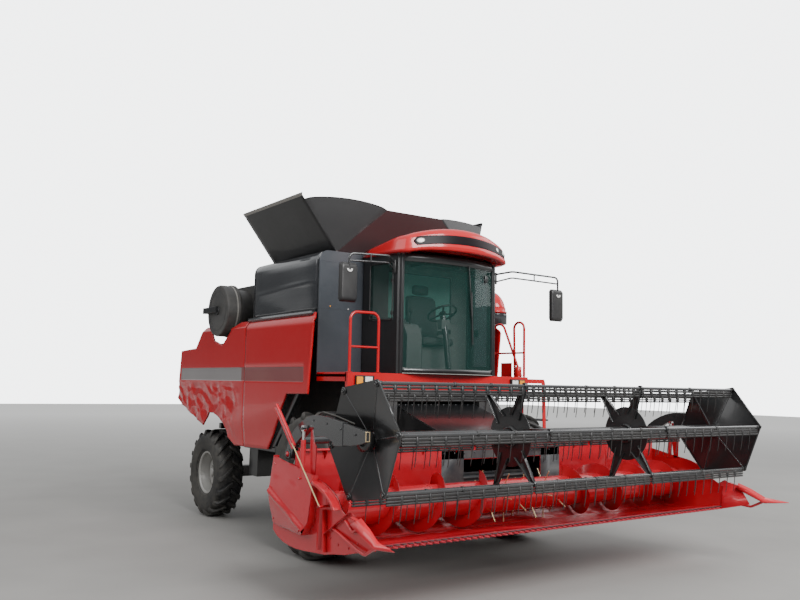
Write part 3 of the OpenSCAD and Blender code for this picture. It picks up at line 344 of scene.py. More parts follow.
class Shape:
    """Collects the faces of one piece, drawn in millimetres; use() picks the finish"""

    def __init__(self, *finishes):
        self.bm = bmesh.new()
        self.finishes = list(finishes)
        self.index = 0

    def use(self, name):
        if name not in self.finishes:
            self.finishes.append(name)
        self.index = self.finishes.index(name)
        return self

    def face(self, verts):
        made = self.bm.faces.new(verts)
        made.material_index = self.index
        return made

    def skin(self, rows, loop=False):
        """Joins closed rows of points; loop joins the last row to the first, else both are capped"""
        rings = [[self.bm.verts.new([c * MM for c in p]) for p in row] for row in rows]
        n = len(rings[0])
        for a, b in list(zip(rings, rings[1:])) + ([(rings[-1], rings[0])] if loop else []):
            for i in range(n):
                self.face((a[i], a[(i + 1) % n], b[(i + 1) % n], b[i]))
        if not loop:
            self.face(rings[0][::-1])
            self.face(rings[-1])
        return self

    def prism(self, outline, low, high, axis="y"):
        put = PLANES[axis]
        return self.skin([[put(a, b, c) for a, b in outline] for c in (low, high)])

    def box(self, low, high):
        return self.prism([(low[0], low[1]), (high[0], low[1]), (high[0], high[1]), (low[0], high[1])],
                          low[2], high[2], "z")

    def turned(self, profile, centre, axis="y", steps=48, loop=True):
        """A closed profile of radius and place along the axis, turned round the axis"""
        put = PLANES[axis]
        rows = []
        for radius, along in profile:
            ring = [put(radius * math.cos(a), radius * math.sin(a), along) for a in circle(steps)]
            rows.append([[p[i] + centre[i] for i in range(3)] for p in ring])
        return self.skin(rows, loop=loop)

    def spun(self, profile, centre, axis="y", steps=24):
        """A profile that starts and ends near the axis, turned and closed"""
        return self.turned(profile, centre, axis, steps, loop=False)

    def disc(self, radius, low, high, centre, axis="y", steps=24):
        return self.spun([(1, low), (radius, low), (radius, high), (1, high)], centre, axis, steps)

    def moved(self, x=0, y=0, z=0, turn=0.0):
        """Turns the shape about the Y axis, then moves it"""
        if turn:
            bmesh.ops.rotate(self.bm, verts=self.bm.verts, cent=(0, 0, 0),
                             matrix=Matrix.Rotation(turn, 3, "Y"))
        bmesh.ops.translate(self.bm, verts=self.bm.verts, vec=(x * MM, y * MM, z * MM))
        return self

    def pipe(self, path, radius, bend=60, sides=14):
        mesh = bpy.data.meshes.new("path")
        mesh.from_pydata([[c * MM for c in p] for p in path],
                         [(i, i + 1) for i in range(len(path) - 1)], [])
        return self.take(run_tree(mesh, "Pipe", Radius=radius * MM, Bend=bend * MM, Sides=sides,
                                  Finish=FINISHES[self.finishes[self.index]]))

    def outwards(self):
        """Turns all faces outwards"""
        bmesh.ops.recalc_face_normals(self.bm, faces=self.bm.faces)
        return self

    def as_mesh(self):
        """The shape as a mesh in metres; the shape is used up"""
        mesh = bpy.data.meshes.new("shape")
        self.bm.to_mesh(mesh)
        self.bm.free()
        return mesh

    def take(self, mesh):
        """Adds a mesh that is in metres"""
        before = len(self.bm.faces)
        self.bm.from_mesh(mesh)
        self.bm.faces.ensure_lookup_table()
        for made in self.bm.faces[before:]:
            made.material_index = self.index
        bpy.data.meshes.remove(mesh)
        return self

    def copies(self, one, count, step=(0, 0, 0), turn=(0, 0, 0), centre=(0, 0, 0)):
        """Adds rows or rings of another shape, which is used up"""
        return self.take(run_tree(one.as_mesh(), "Repeat", Count=count, Step=[c * MM for c in step],
                                  Turn=list(turn), Centre=[c * MM for c in centre],
                                  Finish=FINISHES[self.finishes[self.index]]))

    def mirrored(self):
        """Adds the same faces on the machine's other side"""
        both = bmesh.ops.duplicate(self.bm, geom=self.bm.verts[:] + self.bm.edges[:] + self.bm.faces[:])
        verts = [g for g in both["geom"] if isinstance(g, bmesh.types.BMVert)]
        faces = [g for g in both["geom"] if isinstance(g, bmesh.types.BMFace)]
        for v in verts:
            v.co.y = -v.co.y
        bmesh.ops.reverse_faces(self.bm, faces=faces)
        return self


def place(shape, name, body=ROOT, replaces=(), bevel=0.0, angle=35, segments=2):
    """Makes the finished piece: welded, edges softened, shaded and riding on its body"""
    bm = shape.bm
    bmesh.ops.remove_doubles(bm, verts=bm.verts, dist=WELD)
    bmesh.ops.recalc_face_normals(bm, faces=bm.faces)
    mesh = bpy.data.meshes.new(name)
    bm.to_mesh(mesh)
    bm.free()
    for label in shape.finishes:
        mesh.materials.append(FINISHES[label])
    piece = bpy.data.objects.new(name, mesh)
    bpy.context.scene.collection.objects.link(piece)
    if bevel:
        soft = piece.modifiers.new("Edges", "BEVEL")
        soft.width, soft.segments, soft.limit_method = bevel * MM, segments, "ANGLE"
        soft.angle_limit = SOFT_FROM
    mesh.shade_smooth()
    even = piece.modifiers.new("Even", "WEIGHTED_NORMAL")
    even.keep_sharp = True
    graph = bpy.context.evaluated_depsgraph_get()
    if not bevel:
        mesh.set_sharp_from_angle(angle=math.radians(angle))
    final = bpy.data.meshes.new_from_object(piece.evaluated_get(graph), depsgraph=graph)
    piece.modifiers.clear()
    piece.data = final
    bpy.data.meshes.remove(mesh)
    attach(piece, body)
    if replaces:
        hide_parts(*replaces)
    return piece


def clipped(outline, x0, x1, z0, z1):
    """The part of an outline inside a rectangle"""
    for axis, limit, keep in ((0, x0, 1), (0, x1, -1), (1, z0, 1), (1, z1, -1)):
        result = []
        for i, p in enumerate(outline):
            q = outline[(i + 1) % len(outline)]
            p_in, q_in = (p[axis] - limit) * keep >= -1e-9, (q[axis] - limit) * keep >= -1e-9
            if p_in:
                result.append(p)
            if p_in != q_in:
                t = (limit - p[axis]) / (q[axis] - p[axis])
                result.append((p[0] + t * (q[0] - p[0]), p[1] + t * (q[1] - p[1])))
        outline = result
        if len(outline) < 3:
            return []
    return outline


def lines(low, high, step, extra=()):
    n = max(1, round((high - low) / step))
    marks = [low + (high - low) * k / n for k in range(n + 1)]
    marks = [m for m in marks if all(abs(m - e) > step * 0.3 for e in extra)]
    return sorted(set(marks) | {e for e in extra if low < e < high} | {low, high})


def sheet(shape, outline, depth, thick, finish_at, xs=(), zs=(), step=60, side=-1):
    """A pressed sheet in the X-Z plane: depth(x, z) gives its outer face, finish_at its finish"""
    ox, oz = [p[0] for p in outline], [p[1] for p in outline]
    verts, flat = {}, []

    def vert(x, z):
        key = (round(x, 2), round(z, 2))
        if key not in verts:
            verts[key] = shape.bm.verts.new((x * MM, side * depth(x, z) * MM, z * MM))
        return verts[key]

    xl, zl = lines(min(ox), max(ox), step, xs), lines(min(oz), max(oz), step, zs)
    for x0, x1 in zip(xl, xl[1:]):
        for z0, z1 in zip(zl, zl[1:]):
            part = clipped(outline, x0, x1, z0, z1)
            ring = []
            for p in part:
                v = vert(*p)
                if v not in ring:
                    ring.append(v)
            if len(ring) > 2:
                try:
                    made = shape.bm.faces.new(ring)
                except ValueError:
                    continue
                shape.use(finish_at((x0 + x1) / 2, (z0 + z1) / 2))
                made.material_index = shape.index
                flat.append(made)
    shape.use(finish_at(ox[0], oz[0]))
    bmesh.ops.recalc_face_normals(shape.bm, faces=flat)
    if flat[0].normal.y * side < 0:
        bmesh.ops.reverse_faces(shape.bm, faces=flat)
    back = bmesh.ops.duplicate(shape.bm, geom=flat)
    rim = [e for f in flat for e in f.edges if len(e.link_faces) == 1]
    pairs = back["vert_map"]
    for f in back["geom"]:
        if isinstance(f, bmesh.types.BMFace):
            f.normal_flip()
    for v in dict.fromkeys(v for f in flat for v in f.verts):
        pairs[v].co.y -= side * thick * MM
    for e in rim:
        a, b = e.verts
        made = shape.bm.faces.new((a, b, pairs[b], pairs[a]))
        made.material_index = shape.index
    return shape


# Body

PANEL_Y = 1550
SPLIT_X, TOP_Z = -1435, 2910
STRIPE = (-3865, 285, 2045, 2235)
FRONT_PANEL = [(395, 1900), (-155, 1890), (-705, 1150), (SPLIT_X, 1135), (SPLIT_X, TOP_Z - 20),
               (415, TOP_Z), (495, 2830)]
REAR_LOW = [(SPLIT_X - 8, 1135), (-1745, 1130), (-1965, 1230), (-2125, 1430), (-2475, 1560),
            (-2675, 1560), (-2885, 1360), (-3775, 1640), (-4015, 1740), (-4035, 1760),
            (-3985, 1880), (-3905, 2520)]
RIGHT_TOP = [(-3275, 2550), (-3055, 2780), (-2935, 2870), (-2695, 2830), (-2560, 2650),
             (-2245, 2570), (-1945, 2770), (-1945, 2800), (-1705, TOP_Z - 20),
             (SPLIT_X - 8, TOP_Z - 20)]
LEFT_TOP = [(-3275, 2550), (-3055, 2780), (-2935, 2870), (-1705, TOP_Z - 20), (SPLIT_X - 8, TOP_Z - 20)]


def step_up(value, low, high):
    t = min(1.0, max(0.0, (value - low) / (high - low)))
    return t * t * (3 - 2 * t)


def panel_depth(x, z):
    """Outer face of a side panel: rolled-in top, recessed stripe, creased and buckled foot"""
    y = PANEL_Y - 1
    y -= 70 * max(0.0, (z - (TOP_Z - 110)) / 110)
    if STRIPE[0] < x < STRIPE[1] and STRIPE[2] < z < STRIPE[3]:
        y -= 9
    crease = 1560 + 0.18 * (x + 1435)
    y -= 34 * step_up(crease - z, 0, 420)
    buckle = step_up(-1500 - x, 0, 500) * step_up(2040 - z, 0, 120)
    if buckle:
        p = Vector((x * 0.0034 + z * 0.0026, z * 0.003 - x * 0.001, 1.7))
        y -= buckle * (46 * abs(noise.noise(p)) + 11 * abs(noise.noise(p * 2.7)))
    return y


def panel_finish(x, z):
    if STRIPE[0] < x < STRIPE[1] and STRIPE[2] < z < STRIPE[3]:
        return "stripe_silver" if x < -1545 else "stripe_red"
    return "red"


class HARVESTER_OT_side_panels(bpy.types.Operator):
    """Make the red side panels and the rear hood"""
    bl_idname = "harvester.side_panels"
    bl_label = "Side panels"

    def execute(self, context):
        edge_x = (STRIPE[0], STRIPE[0] + 6, STRIPE[1] - 6, STRIPE[1], -1545)
        edge_z = (STRIPE[2], STRIPE[2] + 6, STRIPE[3] - 6, STRIPE[3], TOP_Z - 110)
        for side, label in ((-1, "right"), (1, "left")):
            shape = Shape("red")
            sheet(shape, FRONT_PANEL, panel_depth, 26, panel_finish, edge_x, edge_z, 55, side)
            place(shape, label + "_panel_skin", label + "_panel", (label + "_side_panel",), angle=28)
        shape = Shape("red")
        sheet(shape, REAR_LOW + RIGHT_TOP, panel_depth, 26, panel_finish, edge_x, edge_z, 26, -1)
        sheet(shape, REAR_LOW + LEFT_TOP, panel_depth, 26, panel_finish, edge_x, edge_z, 26, 1)
        shape.use("red").prism([(-3905, 2518), (-3985, 1880), (-4033, 1762), (-4005, 1762), (-3955, 1880),
                                (-3880, 2490), (-3560, 2505), (-3275, 2518), (-3275, 2548)], -1521, 1521)
        place(shape, "rear_hood_skin", ROOT, ("rear_hood",), angle=28)
        return {"FINISHED"}


# Wheels

# body: X, Y, radius, width, bead radius, disc place, hub radius
WHEELS = {
    "right_front_wheel": (665, -1450, 850, 600, 381, -60, 150),
    "left_front_wheel": (665, 1450, 850, 600, 381, -60, 150),
    "right_rear_wheel": (-2795, -1327, 650, 400, 305, 20, 90),
    "left_rear_wheel": (-2795, 1327, 650, 400, 305, 20, 90),
}


def tread_profile(r, w, bead, lug):
    half = [(bead, 0.36), (bead + 8, 0.385), (bead + 30, 0.43), (bead + 60, 0.475), (r * 0.72, 0.5),
            (r - lug - 95, 0.5), (r - lug - 60, 0.485), (r - lug - 30, 0.45), (r - lug - 8, 0.37),
            (r - lug, 0.2), (r - lug, 0.0)]
    return [(a, -b * w) for a, b in half] + [(a, b * w) for a, b in half[-2::-1]]


def lug_shape(r, w, lug, side):
    """One curved lug, from the middle of the tread out over the shoulder"""
    rows = []
    steps = 9
    for k in range(steps + 1):
        t = k / steps
        along = side * w * (-0.02 + 0.5 * t)
        sweep = 0.36 * w / r * (t ** 1.15) * 1.25
        edge = step_up(t, 0.62, 1.0)
        top = r - 10 * edge - 46 * max(0.0, t - 0.86) / 0.14
        foot = r - lug - 14 - 70 * edge
        wide_top = 22 + 14 * t
        wide_foot = wide_top + 15
        ring = []
        for rad, wide in ((foot, -wide_foot), (top - 5, -wide_top), (top, -wide_top + 6),
                          (top, wide_top - 6), (top - 5, wide_top), (foot, wide_foot)):
            a = sweep + wide / r
            ring.append((rad * math.sin(a), along, rad * math.cos(a)))
        rows.append(ring)
    return Shape("rubber").skin(rows).outwards()


def outward(profile, out):
    """A profile with its places along the axis towards the wheel's outer side"""
    return [(radius, out * along) for radius, along in profile]


class HARVESTER_OT_wheels(bpy.types.Operator):
    """Make the four tyres with their lugs and the dished rims"""
    bl_idname = "harvester.wheels"
    bl_label = "Wheels"

    def execute(self, context):
        for body, sizes in WHEELS.items():
            self.tyre(context.scene.harvester_tread, body, *sizes[:5])
            self.rim(body, *sizes)
        return {"FINISHED"}

    def tyre(self, tread, body, x, y, r, w, bead):
        lug, count = tread.depth / MM, tread.lugs
        tyre = Shape("rubber")
        tyre.turned(tread_profile(r, w, bead, lug), (x, y, r), steps=96)
        for side in (-1, 1):
            # the lugs of one half lie half a pitch behind those of the other
            one = lug_shape(r - 1, w, lug, side).moved(turn=math.pi / count * (side > 0))
            tyre.copies(one, count, turn=(0, 2 * math.pi / count, 0), centre=(x, y, r))
        for side in (-1, 1):
            for rad, high, at in ((bead + 42, 3, side * w * 0.455), (r * 0.72, 2.5, side * w * 0.5)):
                tyre.turned([(rad - 5, at - side * 4), (rad, at + side * high), (rad + 5, at - side * 4)],
                            (x, y, r), steps=96)
        name = body.replace("_wheel", "")
        place(tyre, name + "_tread", body, (name + "_tyre",), angle=42)

    def rim(self, body, x, y, r, w, bead, d, hub):
        out = 1 if y > 0 else -1
        b = w * 0.36 + 0.5
        well = bead - 46
        rim = Shape("rim")
        rim.turned(outward([
            (bead - 16, -b - 11), (bead + 19, -b - 11), (bead + 20, -b - 1), (bead, -b),
            (bead - 2, -b * 0.55), (well, -b * 0.4), (well, b * 0.2), (bead - 2, b * 0.5), (bead, b),
            (bead + 20, b + 1), (bead + 19, b + 11), (bead - 14, b + 11), (bead - 18, b * 0.9),
            (bead - 18, b * 0.52), (well - 12, b * 0.22), (well - 12, -b * 0.42),
            (bead - 18, -b * 0.56)], out), (x, y, r), steps=72)
        rim.turned(outward([
            (hub * 0.7, d - 12), (hub + 40, d - 12), (bead * 0.62, d - 8), (bead * 0.74, d - 30),
            (bead - 58, d - 62), (bead - 56, d - 42), (bead * 0.74, d - 8), (bead * 0.6, d + 10),
            (hub + 34, d + 4), (hub * 0.7, d + 4)], out), (x, y, r), steps=72)
        rim.spun(outward([
            (0.5, d), (hub * 0.62, d), (hub * 0.68, d + 6), (hub * 0.68, d + 50),
            (hub * 0.6, d + 62), (0.5, d + 66)], out), (x, y, r), steps=40)
        nut = Shape("rim")
        nut.turned([(1, 0), (13, 0), (13, out * 15), (10, out * 19), (1, out * 19)], (0, 0, 0), steps=6)
        nut.moved(hub + 20, out * (d + 3)).outwards()
        rim.copies(nut, 8, turn=(0, math.pi / 4, 0), centre=(x, y, r))
        name = body.replace("_wheel", "")
        place(rim, name + "_disc", body, (name + "_rim",), angle=38)


# Tank and its extension

TANK_X = (-1455, 425)
TANK_Y, TANK_Z, TANK_ROUND = 1440, 3700, 130
SIDE_HEIGHTS = (2975, 3060, 3150, 3230, 3260, 3290, 3320, 3350, 3430, 3500, TANK_Z - TANK_ROUND)
HINGE_Y, HINGE_Z = 1150, TANK_Z + 6
TUBE_AT = (260, 1640)
SIDE_LEAVES = {-1: (math.radians(38), 876), 1: (math.radians(13), 712)}  # side: lean, length
END_LEAN, END_LENGTH = math.radians(25), 640
END_TOPS = {-1: -560, 1: 330}  # side: Y of the end leaves' top corner
WEB_RISE = {-1: 80, 1: 30}


def ripple(x, z, size, seed=0.0):
    return noise.noise(Vector((x * 0.0011 + seed, z * 0.0017, seed * 1.7))) * size


def tank_top(half):
    """The tank's two rounded top edges, from the left side over to the right"""
    return (arc(half - TANK_ROUND, TANK_Z - TANK_ROUND, TANK_ROUND, 0, 90)
            + arc(TANK_ROUND - half, TANK_Z - TANK_ROUND, TANK_ROUND, 90, 180))


class HARVESTER_OT_tank(bpy.types.Operator):
    """Make the grain tank, its bulkhead and the unfolded extension leaves"""
    bl_idname = "harvester.tank"
    bl_label = "Grain tank"

    def execute(self, context):
        self.walls()
        self.bulkhead()
        self.side_leaves()
        self.end_leaves()
        return {"FINISHED"}

    def walls(self):
        shape = Shape("tank")
        rows = []
        count = 24
        for k in range(count + 1):
            x = TANK_X[0] + 4 + (TANK_X[1] - TANK_X[0] - 30) * k / count
            full = step_up(k, 0, 2) * step_up(count - k, 0, 3)
            outer = [(700, 2562), (TANK_Y - 8, 2932)]
            for z in SIDE_HEIGHTS:
                swell = 26 * full * math.sin(math.pi * min(1, (z - 2930) / 900))
                fold = 9 * full * math.exp(-((z - 3290 - 0.04 * x) / 40) ** 2)
                outer.append((TANK_Y + swell + fold + full * ripple(x, z, 22, 2.2) - 8, z))
            top = arc(TANK_Y - TANK_ROUND, TANK_Z - TANK_ROUND, TANK_ROUND, 12, 90)
            outer += [(a + 14 * full * (1 - i / 7) - 8, b) for i, (a, b) in enumerate(top)]
            outer.append((HINGE_Y, TANK_Z))
            half = outer + [(HINGE_Y, 3676), (1300, 3676), (1412, 3570), (1412, 2945), (690, 2585)]
            rows.append([(x, -a, b) for a, b in half] + [(x, a, b) for a, b in half[::-1]])
        shape.skin(rows)
        wall = [(-TANK_Y + 6, 2932), (-700, 2562), (700, 2562), (TANK_Y - 6, 2932)] + tank_top(TANK_Y - 6)
        shape.prism(wall, TANK_X[0], TANK_X[0] + 26, "x")
        for x0, x1 in ((TANK_X[0] + 20, TANK_X[0] + 100), (365, 410)):
            shape.box((x0, -1155, 3674), (x1, 1155, TANK_Z))
        for s in (-1, 1):
            y0, y1 = between(s, 1330, 1519)
            shape.box((SPLIT_X, y0, 2872), (395, y1, 2924))
        shape.box((140, 1428, 2945), (380, 1640, 3095))
        shape.spun([(1, 2945), (170, 2945), (170, 3088), (158, 3100), (1, 3100)], (*TUBE_AT, 0), "z", 36)
        place(shape, "tank_skin", ROOT, ("grain_tank",), angle=40)

    def bulkhead(self):
        shape = Shape("bulkhead")
        front = [(-TANK_Y, 2141), (TANK_Y, 2141)] + tank_top(TANK_Y)
        shape.prism(front, 401, 425, "x")
        for z in (2962, 3560):
            shape.box((424, -TANK_Y + 12, z), (427, -880, z + 5))
        for label, y, z in (("amber", -1275, 2995), ("white", -1010, 2975)):
            shape.use(label).spun([(1, 425), (9, 425), (9, 431), (5, 435), (1, 435)], (0, y, z), "x", 16)
        place(shape, "tank_bulkhead", ROOT, bevel=5)

    def side_leaves(self):
        x0, x1 = TANK_X[0] + 90, TANK_X[1] - 90
        shape = Shape("leaf")
        for s, (lean, length) in SIDE_LEAVES.items():
            dy, dz = math.sin(lean), math.cos(lean)
            rows = []
            for k in range(23):
                x = x0 + (x1 - x0) * k / 22
                row = []
                for part in (0, 0.1, 0.2, 0.3, 0.4, 0.5, 0.6, 0.72, 0.84, 0.93, 0.96, 1.0):
                    up = length * part
                    crimp = ripple(x, up, 9, 5.0) * step_up(up, 0, 200) * (1 - step_up(part, 0.8, 0.93))
                    row.append((x, s * (HINGE_Y + up * dy + crimp * dz), HINGE_Z + up * dz - crimp * dy))
                tip = row[-1]
                edge = [(x, tip[1] - s * (24 * dz + e * dy), tip[2] + 24 * dy - e * dz) for e in (0, 6)]
                rows.append(row + edge + [(x, p[1] - s * 5 * dz, p[2] + 5 * dy) for p in row[::-1]])
            shape.use("leaf").skin(rows)
            line = ((length - 40, 3), (length - 2, 3), (length - 2, 0), (length - 40, 0))
            shape.use("trim_line").skin([
                [(x, s * (HINGE_Y + up * dy + o * dz), HINGE_Z + up * dz - o * dy) for up, o in line]
                for x in (x0 - 3, x1 + 3)])
        place(shape, "side_leaves", ROOT, ("tank_extension",), angle=24)

    def end_leaves(self):
        """The front and rear leaves, and the arched webs that join them to the side leaves"""
        ends = ((1, TANK_X[1] - 90), (-1, TANK_X[0] + 90))
        ahead, rise = END_LENGTH * math.sin(END_LEAN), END_LENGTH * math.cos(END_LEAN)
        shape = Shape("leaf_front")
        for sx, base in ends:
            rows = []
            for part in (0, 0.5, 1.0):
                x, z = base + sx * ahead * part, HINGE_Z + rise * part
                foot = HINGE_Y - 2
                low, high = (s * foot + (END_TOPS[s] - s * foot) * part for s in (-1, 1))
                rows.append([(x, low, z), (x, high, z), (x - sx * 6, high, z + 3), (x - sx * 6, low, z + 3)])
            shape.skin(rows)
        shape.use("leaf")
        for sx, base in ends:
            for s, (lean, length) in SIDE_LEAVES.items():
                corner = Vector((base, s * HINGE_Y, HINGE_Z))
                low = Vector((0, s * length * math.sin(lean), length * math.cos(lean))) * 0.9
                high = Vector((sx * ahead, END_TOPS[s] - s * HINGE_Y, rise))
                out, off = ((low + high) / 2).normalized(), low.cross(high).normalized() * 5
                rows = []
                for k in range(17):
                    t = k / 16
                    arch = out * WEB_RISE[s] * math.sin(math.pi * t) ** 0.6
                    p = corner + low * (1 - t) + high * t + arch - Vector((sx * 4, 0, 0))
                    a, b = corner + (p - corner) * 0.03, corner + (p - corner) * 0.5
                    rows.append([a, b, p, p + off, b + off, a + off])
                shape.skin(rows)
                shape.skin([[row[2] + v for v in (out * 4, off * 1.6, -out * 6, -off * 0.8)] for row in rows])
        place(shape, "end_leaves", ROOT, (), angle=24)


class HARVESTER_OT_air_screen(bpy.types.Operator):
    """Make the rotary air screen with its cover and band, and the duct behind it"""
    bl_idname = "harvester.air_screen"
    bl_label = "Air screen"

    def execute(self, context):
        at = (-2295, 0, 3085)
        shape = Shape("screen")
        shape.turned([(62, -1430), (340, -1430), (340, -1400), (397, -1400), (397, -1440), (386, -1442),
                      (385, -1600), (378, -1618), (362, -1620), (62, -1620)], at, steps=72)
        shape.use("trim_line").turned([(385, -1452), (389, -1452), (389, -1474), (385, -1474)], at, steps=72)
        shape.use("screen").turned([(290, -1620), (293, -1623), (296, -1620)], at, steps=64)
        place(shape, "screen_cover", "screen", ("screen_drum",))
        shape = Shape("works")
        shape.disc(58, -1640, -1190, at)
        shape.disc(335, -1388, -1192, at, steps=48)
        shape.box((-2700, -1200, 2600), (-1890, -700, 3480))
        shape.box((-2600, -700, 2600), (-1900, 700, 3350))
        shape.use("black").box((-3230, -1519, 2561), (-1480, 1519, 2600))
        # arm that holds the cover's hub, carried round the cover to the duct
        arm = ((-2250, -1641), (-2250, -1676), (-2742, -1676), (-2742, -1180), (-2699, -1180), (-2699, -1641))
        shape.skin([[(x, y, z) for x, y in arm] for z in (3058, 3146)])
        exhaust = [(1, 2600), (110, 2600), (110, 3060), (90, 3085), (56, 3090), (55, 3610), (49, 3610),
                   (49, 3100), (1, 3100)]
        shape.use("plate").spun(exhaust, (-2950, 300, 0), "z", 32)
        place(shape, "engine_bay", ROOT, ("engine",), bevel=6)
        return {"FINISHED"}


# Cab

CAB_Y = 60
BOW = (-250, 1760)
ROOF_Z = 3652
FLOOR_Z = 2232
VISOR = [(-640, 3878), (-420, 3884), (-230, 3880), (-130, 3872), (-74, 3858), (-44, 3838), (-28, 3806),
         (-16, 3766), (-6, 3724), (4, 3698), (8, 3680), (0, 3660), (-18, ROOF_Z), (-70, 3655), (-190, 3666),
         (-200, 3690), (-420, 3700), (-640, 3700)]
# roof edge: X, Y, share of the visor's height, angle from the middle
ROOF_SIDE = [(452, 880, 0.3, 90), (600, 890, 0.4, 80), (750, 896, 0.52, 60), (900, 898, 0.66, 45),
             (1050, 892, 0.82, 35), (1180, 872, 0.94, 31)]
BAND_ANGLES = (-24.5, 27.0)
BAND_EDGE = ((-1, -12), (-1, 1), (-0.92, 4), (-0.5, 5), (0, 5), (0.5, 5), (0.92, 4), (1, 1), (1, -12))
# lamps of the band: angle, half width, half height; then scale and place of each ring
LAMPS = ((-21.7, 46, 29), (19.0, 26, 26), (24.6, 26, 26))
LAMP_RINGS = ((1.18, -6), (1.18, 5), (1.02, 7), (1.02, -6), (1.0, -6), (1.0, 4), (0.9, 7), (0.5, 9),
              (0.03, 10))
GLASS_Z = (2170, 3650)
GLASS_BOW = 150
GLASS_R = (800 ** 2 + GLASS_BOW ** 2) / (2 * GLASS_BOW)


def visor_rise(angle):
    return 118 * max(0.0, 1 - (angle / 27) ** 2)


def visor_section(angle):
    """The visor's section at an angle from the middle: arched up there, drooping at its ends"""
    under = 30 - 50 * min(1.0, abs(angle) / 27) ** 4
    lifted = []
    for i, (o, z) in enumerate(VISOR):
        share = min(1.0, max(0.0, (z - ROOF_Z) / 200))
        low = under * (1 - share) if 7 < i < 15 else 0
        lifted.append((o, z + visor_rise(angle) * share * (i < 15) * (1 - step_up(-o, 120, 620)) + low))
    return lifted


def band_point(angle, up, proud):
    """A point on the visor's front face, up from the lamps' line"""
    front = visor_section(angle)[3:11]
    z = 3760 + visor_rise(angle) * 0.6 + up
    for (o1, z1), (o0, z0) in zip(front, front[1:]):
        if z0 <= z <= z1:
            o = o0 + (o1 - o0) * (z - z0) / (z1 - z0)
            break
    else:
        o = front[0][0]
    r, t = BOW[1] + o + proud, math.radians(angle)
    return (BOW[0] + r * math.cos(t), CAB_Y + r * math.sin(t), z)


def glass_point(y, out):
    """A place off the windscreen's curved face, seen from above"""
    return (1120 + GLASS_BOW - GLASS_R + math.sqrt(GLASS_R * GLASS_R - y * y) + out, CAB_Y + y)


def glass_strip(shape, half, low, high, front, back):
    """A strip along the windscreen's curve"""
    rows = []
    for k in range(25):
        y = -half + 2 * half * k / 24
        a, b = glass_point(y, front), glass_point(y, back)
        rows.append([(*a, low), (*a, high), (*b, high), (*b, low)])
    shape.skin(rows)


def right_wall(x, out):
    """Y of a place off the cab's right wall"""
    return -860 - out + 60 * (x - 445) / (1120 - 445) + CAB_Y


